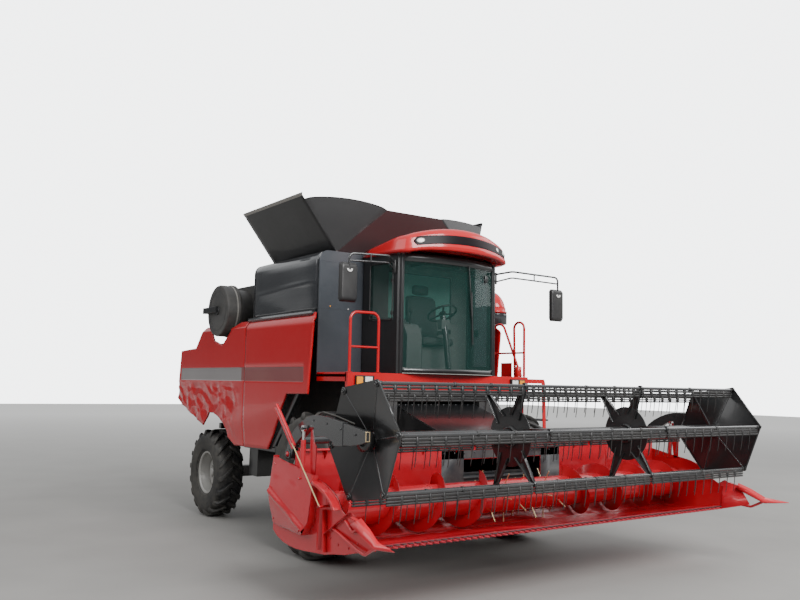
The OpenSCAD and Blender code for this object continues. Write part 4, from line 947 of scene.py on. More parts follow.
class HARVESTER_OT_cab(bpy.types.Operator):
    """Make the roof with its lamps, the cab's seals, wiper and handle, and the inside"""
    bl_idname = "harvester.cab"
    bl_label = "Cab"

    def execute(self, context):
        self.roof()
        self.lamps()
        self.trim()
        self.lining()
        self.steering_wheel()
        self.seat()
        return {"FINISHED"}

    def roof(self):
        plan = list(ROOF_SIDE)
        for a in (28.5, 26.5, 24, 21, 17, 13, 9, 5, 0):
            t = math.radians(a)
            plan.append((BOW[0] + BOW[1] * math.cos(t) - 8 * (a > 27), BOW[1] * math.sin(t) - 16 * (a > 27),
                         1.0, a))
        plan = plan + [(x, -y, k, a) for x, y, k, a in plan[-2::-1]]
        rows = []
        for i, (x, y, k, angle) in enumerate(plan):
            a, b = plan[max(0, i - 1)], plan[min(len(plan) - 1, i + 1)]
            tangent = Vector((b[0] - a[0], b[1] - a[1])).normalized()
            out = Vector((-tangent.y, tangent.x))
            if out.y * y < 0 or (abs(y) < 1 and out.x < 0):
                out = -out
            row = []
            for o, z in visor_section(angle):
                level = ROOF_Z + (z - ROOF_Z) * (0.3 + 0.7 * k)
                px, py = x + out.x * o, y + out.y * o
                if o < -400:
                    inward = (-o - 200) / 440
                    px, py = x + (max(460, min(x, 900)) - x) * inward, y * (1 - inward)
                row.append((max(px, 436), CAB_Y + py, level))
            rows.append(row)
        place(Shape("red").skin(rows), "roof_visor", ROOT, ("cab_roof",), angle=50)

    def lamps(self):
        """The black band just proud of the visor, with its lamps"""
        band = Shape("gloss")
        left, right = BAND_ANGLES
        rows = []
        for k in range(41):
            a = left + (right - left) * k / 40
            near = min(a - left, right - a) / 1.5
            half = 56 * math.sqrt(max(0.02, 1 - max(0.0, 1 - near) ** 2))
            rows.append([band_point(a, u * half, o) for u, o in BAND_EDGE])
        band.skin(rows)
        for a, wide, high in LAMPS:
            centre = Vector(band_point(a, 0, 6))
            aside = (Vector(band_point(a + 0.5, 0, 6)) - centre).normalized()
            up = (Vector(band_point(a, 8, 6)) - centre).normalized()
            out = up.cross(aside)
            if out.x < 0:
                out = -out
            rows = [[centre + out * o + aside * wide * scale * math.cos(q) + up * high * scale * math.sin(q)
                     for q in circle(24)] for scale, o in LAMP_RINGS]
            band.use("trim_line").skin(rows[:4], loop=True)
            band.use("lens").skin(rows[4:])
        place(band, "lamp_band", ROOT, angle=45)

    def trim(self):
        z0, z1 = GLASS_Z
        shape = Shape("black")
        glass_strip(shape, 735, z0 + 18, z0 + 64, 4, -30)
        glass_strip(shape, 735, z1 - 96, z1, 4, -30)
        glass_strip(shape.use("trim_line"), 728, z0 + 2, z0 + 10, 7, 0)
        shape.pipe([(*glass_point(-735, 5), z0 + 8), (*glass_point(-735, 7), z1 - 60)], 4, sides=8)
        shape.use("black")
        for s in (-1, 1):
            post = glass_point(s * 742, -18)
            shape.pipe([(*post, z0 + 2), (*post, z1)], 34, sides=20)
        # wiper with its arm, and a bracket at the left of the windscreen
        shape.use("plastic").pipe([(*glass_point(210, 16), 3560), (*glass_point(225, 26), 3300),
                                   (*glass_point(260, 24), 2920)], 8)
        shape.pipe([(*glass_point(265, 16), 3230), (*glass_point(290, 16), 2560)], 9)
        x, y = glass_point(560, 22)
        shape.box((x - 14, y - 30, 3380), (x + 8, y + 10, 3470))
        place(shape, "cab_seals", ROOT, angle=40)
        # rubber frame, hinges and latch of the right side window
        shape = Shape("plastic")
        for seal, o in ((16, 5), (6, 9)):
            corners = ((592, 2850), (1032, 2824), (1042, 3540), (592, 3546))
            path = [(x, right_wall(x, o), z) for x, z in corners]
            shape.pipe(path + [path[0]], seal / 2, 40, 8)
        for x, wide, out, z0, z1 in ((1030, 22, 26, 3290, 3330), (1030, 22, 26, 2890, 2930),
                                     (600, 40, 24, 2895, 2930)):
            shape.box((x, right_wall(x, out), z0), (x + wide, right_wall(x, 0), z1))
        place(shape, "side_window_seal", ROOT, bevel=2)
        shape = Shape("plastic")
        y = CAB_Y + 835
        shape.box((620, y, 2700), (740, y + 18, 2800))
        shape.pipe([(x, y + d, 2775) for x, d in ((640, 18), (640, 52), (725, 52), (725, 18))], 8, 16, 10)
        place(shape, "door_handle", "door", bevel=4)

    def lining(self):
        shape = Shape("trim")
        z = FLOOR_Z
        shape.box((470, CAB_Y - 740, z), (1150, CAB_Y + 740, z + 12))
        console = [(560, z), (1000, z), (1010, z + 420), (930, z + 560), (560, z + 640)]
        shape.prism(console, CAB_Y - 560, CAB_Y - 330)
        shape.box((590, CAB_Y - 210, z), (850, CAB_Y + 210, z + 300))
        column = [(1140, CAB_Y, z + 12), (1080, CAB_Y, z + 420), (1010, CAB_Y, z + 690)]
        shape.use("black").pipe(column, 38, 80, 16)
        shape.use("trim").box((1000, CAB_Y - 70, z + 520), (1080, CAB_Y + 70, z + 640))
        shape.use("plastic")
        shape.pipe([(880, CAB_Y - 430, z + 560), (900, CAB_Y - 430, z + 720)], 12)
        shape.spun([(1, 0), (22, 0), (28, 20), (24, 52), (1, 60)], (902, CAB_Y - 430, z + 715), "z", 16)
        shape.use("trim").box((560, CAB_Y - 300, z + 480), (880, CAB_Y - 240, z + 530))
        shape.box((560, CAB_Y + 240, z + 480), (880, CAB_Y + 300, z + 530))
        # rear wall round its window, and the lining of the roof
        for y0, z0, y1, z1 in ((-820, z, 820, 2890), (-820, 3510, 820, 3640), (-820, 2880, -525, 3520),
                               (525, 2880, 820, 3520)):
            shape.box((508, y0 + CAB_Y, z0), (530, y1 + CAB_Y, z1))
        shape.box((520, CAB_Y - 700, 3600), (1140, CAB_Y + 700, 3640))
        # light teal pane in the rear window: painted brightness of the daylight seen through it
        shape.use("pane").box((502, CAB_Y - 515, 2900), (507, CAB_Y + 515, 3500))
        shape.use("works").box((700, CAB_Y - 300, 3560), (1000, CAB_Y + 300, 3600))
        place(shape, "cab_lining", ROOT, ("cab_interior",), bevel=10, segments=3)

    def steering_wheel(self):
        wheel = Shape("plastic")
        wheel.turned([(190 + 15 * math.cos(q), 15 * math.sin(q)) for q in circle(12)], (0, 0, 0), "z", 48)
        wheel.spun([(1, -26), (44, -22), (48, 6), (1, 14)], (0, 0, 0), "z")
        for a in (90, 210, 330):
            q = math.radians(a)
            hub, rim = [(r * math.cos(q), r * math.sin(q), z) for r, z in ((34, -10), (188, 0))]
            wheel.pipe([hub, rim], 12)
        wheel.moved(1000, CAB_Y, 2960, turn=math.radians(-28))
        place(wheel, "steering_wheel", ROOT)

    def seat(self):
        seat = Shape("seat")
        z = FLOOR_Z
        self.cushion(seat, 250, 26, [
            (560, z + 318), (900, z + 306), (935, z + 325), (945, z + 365), (930, z + 405), (880, z + 422),
            (640, z + 408), (570, z + 425), (545, z + 400), (540, z + 345)])
        self.cushion(seat, 235, 30, [
            (505, z + 430), (560, z + 400), (610, z + 420), (612, z + 520), (590, z + 700), (565, z + 860),
            (545, z + 960), (515, z + 985), (480, z + 965), (478, z + 900), (490, z + 700), (500, z + 520)])
        self.cushion(seat, 130, 22, [
            (482, z + 1000), (530, z + 1000), (545, z + 1050), (535, z + 1120), (500, z + 1135),
            (476, z + 1110), (472, z + 1040)])
        pads = place(seat, "driver_seat", ROOT, angle=60)

    def cushion(self, seat, half, rounding, outline):
        """A cushion with an outline seen from the side, drawn in towards its two ends"""
        cx = sum(p[0] for p in outline) / len(outline)
        cz = sum(p[1] for p in outline) / len(outline)
        rows = []
        for s in (-1, -0.92, -0.7, -0.35, 0, 0.35, 0.7, 0.92, 1):
            grow = -rounding * (1 - math.sqrt(max(0, 1 - abs(s) ** 5)))
            row = []
            for px, pz in outline:
                d = Vector((px - cx, pz - cz))
                d = d.normalized() * (d.length + grow)
                row.append((cx + d.x, CAB_Y + s * half, cz + d.y))
            rows.append(row)
        seat.skin(rows)


# Platform, rails, mirrors, unloading tube

class HARVESTER_OT_platform(bpy.types.Operator):
    """Make the platform with its beam and marker lamps, the rails, the ladder and the mirrors"""
    bl_idname = "harvester.platform"
    bl_label = "Platform"

    def execute(self, context):
        self.beam()
        self.marker_lamps()
        self.rails()
        self.mirrors()
        return {"FINISHED"}

    def beam(self):
        shape = Shape("red")
        shape.box((426, -1440, 2112), (1112, 1440, 2150))
        front = [(-1440, 2168), (1440, 2168), (1440, 2020)] + arc(1350, 2020, 90, 0, -90)
        front += arc(-1350, 2020, 90, 270, 180)
        shape.prism(front, 1092, 1151, "x")
        shape.box((1085, -1436, 2156), (1095, 1436, 2170))
        for s in (-1, 1):
            low, high = between(s, 1396, 1440)
            shape.box((426, low, 2062), (1120, high, 2170))
            shape.prism([(430, 2170), (1100, 2170), (1100, 2164), (430, 2164)], *between(s, 1340, 1396))
        place(shape, "platform_beam", ROOT, ("platform",), bevel=8, segments=3)

    def marker_lamps(self):
        shape = Shape("plastic")
        for y0, amber, white in ((-1345, -1300, -1175), (1100, 1290, 1165)):
            housing = [(y0, 2005), (y0 + 250, 2005), (y0 + 250, 2135), (y0, 2135)]
            shape.use("plastic").prism(housing, 1151.5, 1190, "x")
            for label, y, half in (("amber", amber, 42), ("lens", white, 50)):
                lamp = [(y - half, 2020), (y + half, 2020), (y + half, 2120), (y - half, 2120)]
                shape.use(label).prism(lamp, 1186, 1201, "x")
        place(shape, "marker_lamps", ROOT, bevel=5)

    def rails(self):
        x, deck = 1115, 2171
        shape = Shape("red")
        shape.pipe([(x, -1400, deck), (x, -1400, 2878), (x, -1000, 2882), (x, -1000, deck)], 17, 95, 16)
        shape.pipe([(x, -1400, 2470), (x, -1000, 2470)], 13)
        for y in (-1400, -1000):
            shape.disc(38, deck, deck + 6, (x, y, 0), "z", 20)
        shape.pipe([(x, 1400, deck), (x, 1400, 2918), (915, 1400, 2922), (935, 1400, deck)], 17, 90, 16)
        shape.pipe([(x, 1400, 2500), (915, 1400, 2500)], 13)
        shape.pipe([(485, 1400, deck), (485, 1400, 2900), (690, 1400, 2918), (1060, 1400, 2178)], 17, 120, 16)
        shape.pipe([(485, 1400, 2500), (905, 1400, 2500)], 13)
        shape.box((1010, 1310, deck), (1090, 1378, 2310))
        shape.box((662, 1392, deck), (879, 1398, 2366))
        ladder = [(1441, 2145), (1841, 2145), (1861, 2100), (1900, 640), (1850, 640), (1800, 2085),
                  (1441, 2085)]
        for side in (610, 1048):
            shape.prism(ladder, side, side + 12, "x")
        shape.use("plate").box((621, 1441, 2110), (1049, 1845, 2120))
        for k in range(5):
            y, z = 1795 + 8 * k, 1860 - 290 * k
            shape.box((621, y, z), (1049, y + 130, z + 22))
            rib = Shape("plate").box((-4, 4, 0), (4, 126, 5)).moved(645, y, z + 22)
            shape.copies(rib, 16, step=(25, 0, 0))
        place(shape, "rails_and_ladder", ROOT, ("handrails",))

    def mirrors(self):
        shape = Shape("black")
        # side, Y and X of the head, its lowest and highest place
        for s, out, reach, z0, z1 in ((-1, -1500, 1222, 2980, 3440), (1, 1820, 1338, 2945, 3385)):
            root, middle = CAB_Y + s * 820, s * 1000
            y0, y1 = sorted((root - 14 * s, root + 22 * s))
            shape.use("plastic").box((1062, y0, 3400), (1108, y1, 3556))
            near = root + s * 10
            # the arms take the tube finish, whose lighter base is partly painted sheen
            shape.use("tube")
            shape.pipe([(1085, near, 3532), (1300, middle, 3560), (reach, out, 3548), (reach, out, 3370)],
                       13, 60, 12)
            shape.pipe([(1085, near, 3432), (1290, middle, 3478), (reach, out, 3462)], 11, 60, 12)
            shape.pipe([(1296, (middle + out) / 2, z) for z in (3468, 3552)], 9)
            y0, y1 = sorted((out - s * 120, out + s * 110))
            cy, cz, x = (y0 + y1) / 2, (z0 + z1) / 2, reach - 50
            body = [(y0 + 18, z0), (y1 - 18, z0), (y1, z0 + 30), (y1, z1 - 30), (y1 - 24, z1), (y0 + 24, z1),
                    (y0, z1 - 30), (y0, z0 + 30)]
            for label, rings in (("plastic", ((0, 0.97), (0, 1.0), (28, 1.0), (52, 0.93), (62, 0.78))),
                                 ("lens", ((-1, 0.93), (-4, 0.92)))):
                shape.use(label).skin([[(x + dx, cy + (a - cy) * k, cz + (b - cz) * k) for a, b in body]
                                       for dx, k in rings])
            bracket = arc(out, z1 - 75, 38, 180, 360, 12) + arc(out, z1 - 75, 17, 360, 180, 12)
            shape.use("white").prism(bracket, x + 58, x + 70, "x")
        place(shape, "mirror_heads", ROOT, ("mirrors",), angle=50)


class HARVESTER_OT_unloader(bpy.types.Operator):
    """Make the folded unloading tube with its elbow, flanges and spout"""
    bl_idname = "harvester.unloader"
    bl_label = "Unloading tube"

    def execute(self, context):
        x, y = TUBE_AT
        shape = Shape("red")
        shape.spun([(1, 3100.5), (170, 3100.5), (170, 3130), (152, 3132), (152, 3180), (1, 3180)], (x, y, 0),
                   "z", 40)
        shape.pipe([(x, y, 3120), (x, y, 3304), (-3640, y, 3450)], 150, 210, 36)
        rings = Shape("red")
        for along in (180, 194, 2050, 2064, 3880, 3894):
            ring = [(149, -along), (176, -along), (176, -along - 10), (149, -along - 10)]
            rings.turned(ring, (0, 0, 0), "x", 40)
        rings.moved(x, y, 3300, turn=math.atan2(150, 3900))
        shape.take(rings.as_mesh())
        shape.use("black").pipe([(-3630, y, 3449), (-3730, y, 3430), (-3790, y, 3262)], 146, 90, 32)
        place(shape, "unloading_pipe", "unloader", ("unloader_tube",), angle=40)
        return {"FINISHED"}


# Header

# X and Z of the knife and of the auger's axis; Y of the side sheets' inner and outer face
KNIFE = (3219, 646)
AUGER = (2535, 865)
SIDE_Y = (2669, 2683)
GUARD_PITCH = 76.2
SIDE_SHEET = [(1890, 1268), (1838, 605), (1930, 555), (2053, 519), (2180, 502), (2308, 497), (2480, 505),
              (2650, 520), (2850, 535), (3085, 582), (3215, 600), (3250, 880), (3104, 957), (3052, 1030),
              (2948, 1098), (2806, 1149), (2700, 1171), (2500, 1206), (2200, 1265)]
LIP = ((2500, 1192), (2990, 1130), (3092, 955))
SHIELD = [(1920, 1327), (1850, 682), (2063, 654), (2537, 657), (2659, 793), (2697, 1210)]
ARM_PIVOT = (2115, 0, 1350)
CYLINDER_PIN = (2465, 0, 1160)
FEEDER_DRUM = (2060, 0, 975)


def curve_point(ends, t):
    """A point on the curve that three points pull"""
    return tuple(a * (1 - t) ** 2 + 2 * b * t * (1 - t) + c * t * t for a, b, c in zip(*ends))


def shield_depth(x, z):
    """Outer face of the drive's shield: creased across, dented, and drawn in at its edge"""
    crease = 998 - 0.399 * (x - 1855)
    dent = ripple(x * 2.2, z * 2.2, 16, 3.1) + ripple(x * 6, z * 6, 5, 8.2)
    y = 2764 - 58 * step_up(crease - z, 0, 330) - 22 * step_up(z - crease, 0, 420)
    y += dent * 0.45 + (20 + dent) * math.exp(-((z - crease) / 20) ** 2)
    edge = min(x - 1845, 2700 - x, z - 650)
    return min(2789, y - 10 * (1 - step_up(edge, 0, 20)))


class HARVESTER_OT_header(bpy.types.Operator):
    """Make the header's back, floor, side sheets, shield and dividers"""
    bl_idname = "harvester.header"
    bl_label = "Header"

    def execute(self, context):
        self.trough()
        self.feeder_surround()
        self.side_sheets()
        self.drive_shield()
        self.pointer()
        return {"FINISHED"}

    def trough(self):
        x, z = AUGER
        r, thick, gap = 305, 12, 588
        half = SIDE_Y[0] - 1
        nose = [(KNIFE[0] - 60, KNIFE[1] - 30), (KNIFE[0] - 60, KNIFE[1] - 43)]
        profile = [(2230, 1388)] + arc(x, z, r, 180, 270, 12) + nose
        profile += arc(x, z, r + thick, 270, 180, 12) + [(2218, 1388)]
        shape = Shape("header_red")
        for y0, y1 in ((-half, -gap), (gap, half)):
            shape.prism(profile, y0, y1)
        shape.prism(arc(x, z, r, 226, 270) + nose + arc(x, z, r + thick, 270, 226), -gap, gap)
        shape.prism([(2230, 1388), (2230, 1232), (2218, 1232), (2218, 1388)], -gap, gap)
        # top tube, lower tube and the frame that they make with the posts
        shape.box((2142, -2600, 1302), (2217, 2600, 1398))
        for y0, y1 in ((-half, -872), (872, half)):
            shape.box((2142, y0, 602), (2216, y1, 698))
        for y in (-1760, 1760):
            shape.box((2142, y - 40, 699), (2215, y + 40, 1301))
        shape.box((2219, -2600, 1382), (2262, 2600, 1394))
        for s in (-1, 1):
            shape.prism([(2055, 1296), (2055, 1410), (2080, 1412), (2175, 1412), (2217, 1380), (2217, 1296)],
                        *between(s, 2588, 2624))
            shape.disc(25, *between(s, 2640, 2702), ARM_PIVOT)
            for y in (700, 1150, 1900, 2350):
                shape.prism([(2232, 1383), (2290, 1383), (2232, 1300)], s * y - 3, s * y + 3)
        # drum of the feeder's chain, seen through the opening
        shape.use("plate").disc(62, -560, 560, FEEDER_DRUM, steps=28)
        bar = Shape("plate").box((-12, -555, 62), (12, 555, 96))
        shape.copies(bar, 6, turn=(0, math.pi / 3, 0), centre=FEEDER_DRUM)
        # joint lines of the back sheet
        shape.use("header_red")
        for y in (-1760, -920, 920, 1760):
            shape.box((2230, y - 20, 870), (2234, y + 20, 1382))
        place(shape, "header_back", "header", ("header_frame",), angle=30)

    def feeder_surround(self):
        shape = Shape("plate")
        for y0, y1 in ((-900, -590), (590, 900)):
            shape.box((2231, y0, 905), (2236, y1, 1330))
        shape.box((2231, -900, 1240), (2236, 900, 1330))
        bolt = Shape("plate").spun([(1, 0), (9, 0), (9, 5), (6, 8), (1, 8)], (0, 0, 0), "x", 6)
        shape.copies(bolt.moved(2236, -870, 1305), 13, step=(0, 145, 0))
        place(shape, "feeder_surround", "header", (), bevel=1.5)

    def side_sheets(self):
        """The right side sheet with what it carries, mirrored for the left"""
        wall, skin = SIDE_Y
        both = Shape("header_red")
        both.prism(SIDE_SHEET, -skin, -wall)
        rows = []
        for k in range(13):
            t = 0.22 + 0.78 * k / 12
            x, z = curve_point(LIP, t)
            ahead = Vector(curve_point(LIP, t + 0.01)) - Vector((x, z))
            n = Vector((-ahead.y, ahead.x)).normalized()
            rows.append([(x - n.x * d, -skin - y, z - n.y * d) for d, y in (
                (0, -1), (0, 64), (5, 69), (26, 69), (26, 65), (7, 64), (4, 60), (4, -1))])
        both.skin(rows)
        # open channel under the lip, stop of the reel's arm, and the pin of its cylinder
        both.skin([[(a, -skin - 50, z), (a, -skin + 1, z), (b, -skin + 1, z), (b, -skin - 50, z),
                    (b - 5, -skin - 50, z), (b - 5, -skin - 6, z), (a + 5, -skin - 6, z),
                    (a + 5, -skin - 50, z)]
                   for a, b, z in ((2775, 2895, 565), (2800, 2870, 925))])
        both.prism([(2562, 1165), (2530, 1460), (2538, 1606), (2554, 1606), (2586, 1500), (2638, 1460),
                    (2622, 1165)], -skin, -wall)
        both.disc(12, -2757, -2668, CYLINDER_PIN, steps=20)
        both.disc(34, -2700, -2683, CYLINDER_PIN)
        self.divider(both, -skin)
        both.mirrored()
        place(both, "side_sheets", "header", ("header_ends",), angle=24)

    def drive_shield(self):
        """The shield on the right side, and the belt drive under it, seen from below and behind"""
        shield = Shape("header_red")
        sheet(shield, SHIELD, shield_depth, 4, lambda x, z: "header_red", step=24)
        for a, b in zip(SHIELD, SHIELD[1:]):
            d = Vector((b[0] - a[0], b[1] - a[1])).normalized() * 4
            ring = [(a[0], a[1]), (b[0], b[1]), (b[0] - d.y, b[1] + d.x), (a[0] - d.y, a[1] + d.x)]
            shield.skin([[(x, -shield_depth(*q), z) for (x, z), q in zip(ring, (a, b, b, a))],
                         [(x, -SIDE_Y[1] - 1, z) for x, z in ring]])
        for x, z in ((1960, 1250), (1900, 720), (2500, 690), (2660, 1150)):
            y = -shield_depth(x, z)
            shield.disc(9, y - 6, y + 4, (x, 0, z), steps=6)
        place(shield, "drive_shield", "header", (), angle=30)
        works = Shape("black")
        for x, z, r in ((2060, 1150, 90), (2080, 820, 120), (2420, 860, 140)):
            works.spun([(1, -2706), (r - 8, -2706), (r, -2712), (r, -2704), (r - 6, -2699), (r, -2694),
                        (r, -2688), (1, -2688)], (x, 0, z), steps=40)
        place(works, "side_drive", "header", ())

    def pointer(self):
        """Channel and rod that show how far the reel is out"""
        pointer = Shape("header_red")
        low, high = Vector((2389, 0, 1442)), Vector((2003, 0, 1808))
        d = (high - low).normalized()
        n = Vector((-d.z, 0, d.x))
        pointer.skin([[c + n * a - across(b) for a, b in (
            (-27, 2764), (27, 2764), (27, 2790), (23, 2790), (23, 2769), (-23, 2769), (-23, 2790),
            (-27, 2790))]
            for c in (low, high)])
        pointer.box((2879, -2790, 952), (2911, -2684, 972))
        pointer.prism([(2879, 952), (2860, 1120), (2880, 1120), (2911, 972)], -2700, -2684)
        pointer.use("zinc").pipe([(2360, -2779, 1470), (2895, -2779, 962)], 6.5, sides=12)
        pointer.pipe([(2895, -2760, 962), (2895, -2790, 962)], 10, sides=12)
        place(pointer, "reel_pointer", "header", ())

    def divider(self, shape, y):
        """Plate, tube and folded snout at the sheet's front, y being the sheet's outer face"""
        plate = [(2809, 613), (2889, 729), (3275, 954), (3323, 930), (3470, 900), (3600, 700), (3428, 655),
                 (3196, 595), (2865, 545)]
        shape.prism(plate, y - 7, y - 1)
        for a, b in (((2889, 729), (3275, 954)), ((3323, 930), (3470, 900))):
            shape.skin([[(p[0], y - 1, p[1]), (p[0], y - 44, p[1]), (p[0] + 2, y - 44, p[1] - 5),
                         (p[0] + 2, y - 1, p[1] - 5)] for p in (a, b)])
        for x, z in ((2950, 700), (3080, 660), (3080, 770), (3240, 830), (3250, 660), (3390, 720),
                     (3400, 850)):
            shape.spun([(1, y - 15), (8, y - 15), (11, y - 12), (11, y - 6), (1, y - 6)], (x, 0, z), steps=6)
        shape.box((3290, y - 44, 890), (3400, y - 38, 915))
        back = [(3450, y - 17, 936), (3412, y - 103, 886), (3424, y - 40, 850), (3450, y + 26, 880)]
        nose = [(3768, y - 57, 798), (3751, y - 103, 746), (3752, y - 52, 728), (3768, y, 746)]
        ridge = [[(a + b) / 2 for a, b in zip(p, q)] for p, q in zip(back, nose)]
        ridge[0][2] += 12
        tip = [(4035, y - 92 - a, 770 + b) for a, b in ((0, 3), (4, 0), (0, -3), (-4, 0))]
        shape.skin([back, ridge, nose, tip])
        shape.pipe([(3010, y - 14, 785), (3440, y - 45, 680), (3580, y - 60, 668), (3740, y - 68, 750)],
                   15, 80, 12)
        shape.pipe([(3200, y - 14, 880), (3330, y - 24, 800), (3470, y - 40, 870)], 12, 60, 10)


class HARVESTER_OT_cutter_bar(bpy.types.Operator):
    """Make the cutter bar with its guards and the knife's sections"""
    bl_idname = "harvester.cutter_bar"
    bl_label = "Cutter bar"

    def execute(self, context):
        x, z = KNIFE
        half = SIDE_Y[0] - 2
        shape = Shape("header_light")
        shape.prism([(x - 59, z - 44), (x - 10, z - 44), (x - 8, z - 26), (x - 12, z - 10), (x - 59, z - 10)],
                    -half, half)
        guard = Shape("header_light").skin([
            [(-12, -15, -12), (-12, 15, -12), (-12, 13, 10), (-12, -13, 10)],
            [(18, -13, -14), (18, 13, -14), (18, 9, 4), (18, -9, 4)],
            [(72, -2, -6), (72, 2, -6), (72, 1.5, -2), (72, -1.5, -2)]])
        shape.copies(guard.moved(x, -34 * GUARD_PITCH, z - 26), 69, step=(0, GUARD_PITCH, 0))
        knife = Shape("plate").prism([(0, -36), (62, -4), (62, 4), (0, 36)], 0, 3, "z")
        knife.moved(x - 14, -34.5 * GUARD_PITCH, z - 13)
        shape.use("plate").copies(knife, 70, step=(0, GUARD_PITCH, 0))
        place(shape, "knife_and_guards", "header", ("cutter_bar",), angle=30)
        return {"FINISHED"}


class HARVESTER_OT_auger(bpy.types.Operator):
    """Make the auger with its two-handed flights and retracting fingers"""
    bl_idname = "harvester.auger"
    bl_label = "Auger"

    def execute(self, context):
        x, z = AUGER
        half, first, last = 2654, 620, 40
        steps, pitch = 40, 560
        shape = Shape("header_red")
        shape.spun([(1, -half), (166, -half), (170, 4 - half), (170, half - 4), (166, half), (1, half)],
                   (x, 0, z), steps=56)
        shape.disc(35, -2703, 2703, (x, 0, z))
        for y in (-2640, -1330, 1330, 2640):
            shape.turned([(169, y - 12), (176, y - 10), (176, y + 10), (169, y + 12)], (x, 0, z))
        turns = (half - first - last) / pitch
        for side in (-1, 1):
            rows = []
            for k in range(int(turns * steps) + 1):
                a = 2 * math.pi * k / steps
                y = side * (first + pitch * k / steps)
                rows.append([(x + q * math.sin(a), y + side * t, z + q * math.cos(a))
                             for q, t in ((160, 0), (283, 2), (283, 8), (160, 10))])
            shape.skin(rows)
        c = Vector((x, 0, z))
        for k in range(24):
            a = math.radians(150 * k)
            foot, d = c + across(-575 + 50 * k), Vector((math.sin(a), 0, math.cos(a)))
            shape.use("zinc").pipe([foot + d * 150, foot + d * 281], 7, sides=10)
            if k % 2 == 0:
                shape.use("header_red").pipe([foot + d * 150, foot + d * 180], 22, sides=12)
        place(shape, "auger_and_flights", "auger", ("header_auger",))
        return {"FINISHED"}


# Reel

REEL = (3267, 1550)
REEL_R, REEL_Y, BAT_PHASE = 534, 2593, 8
SPIDERS = (-REEL_Y / 3, REEL_Y / 3)


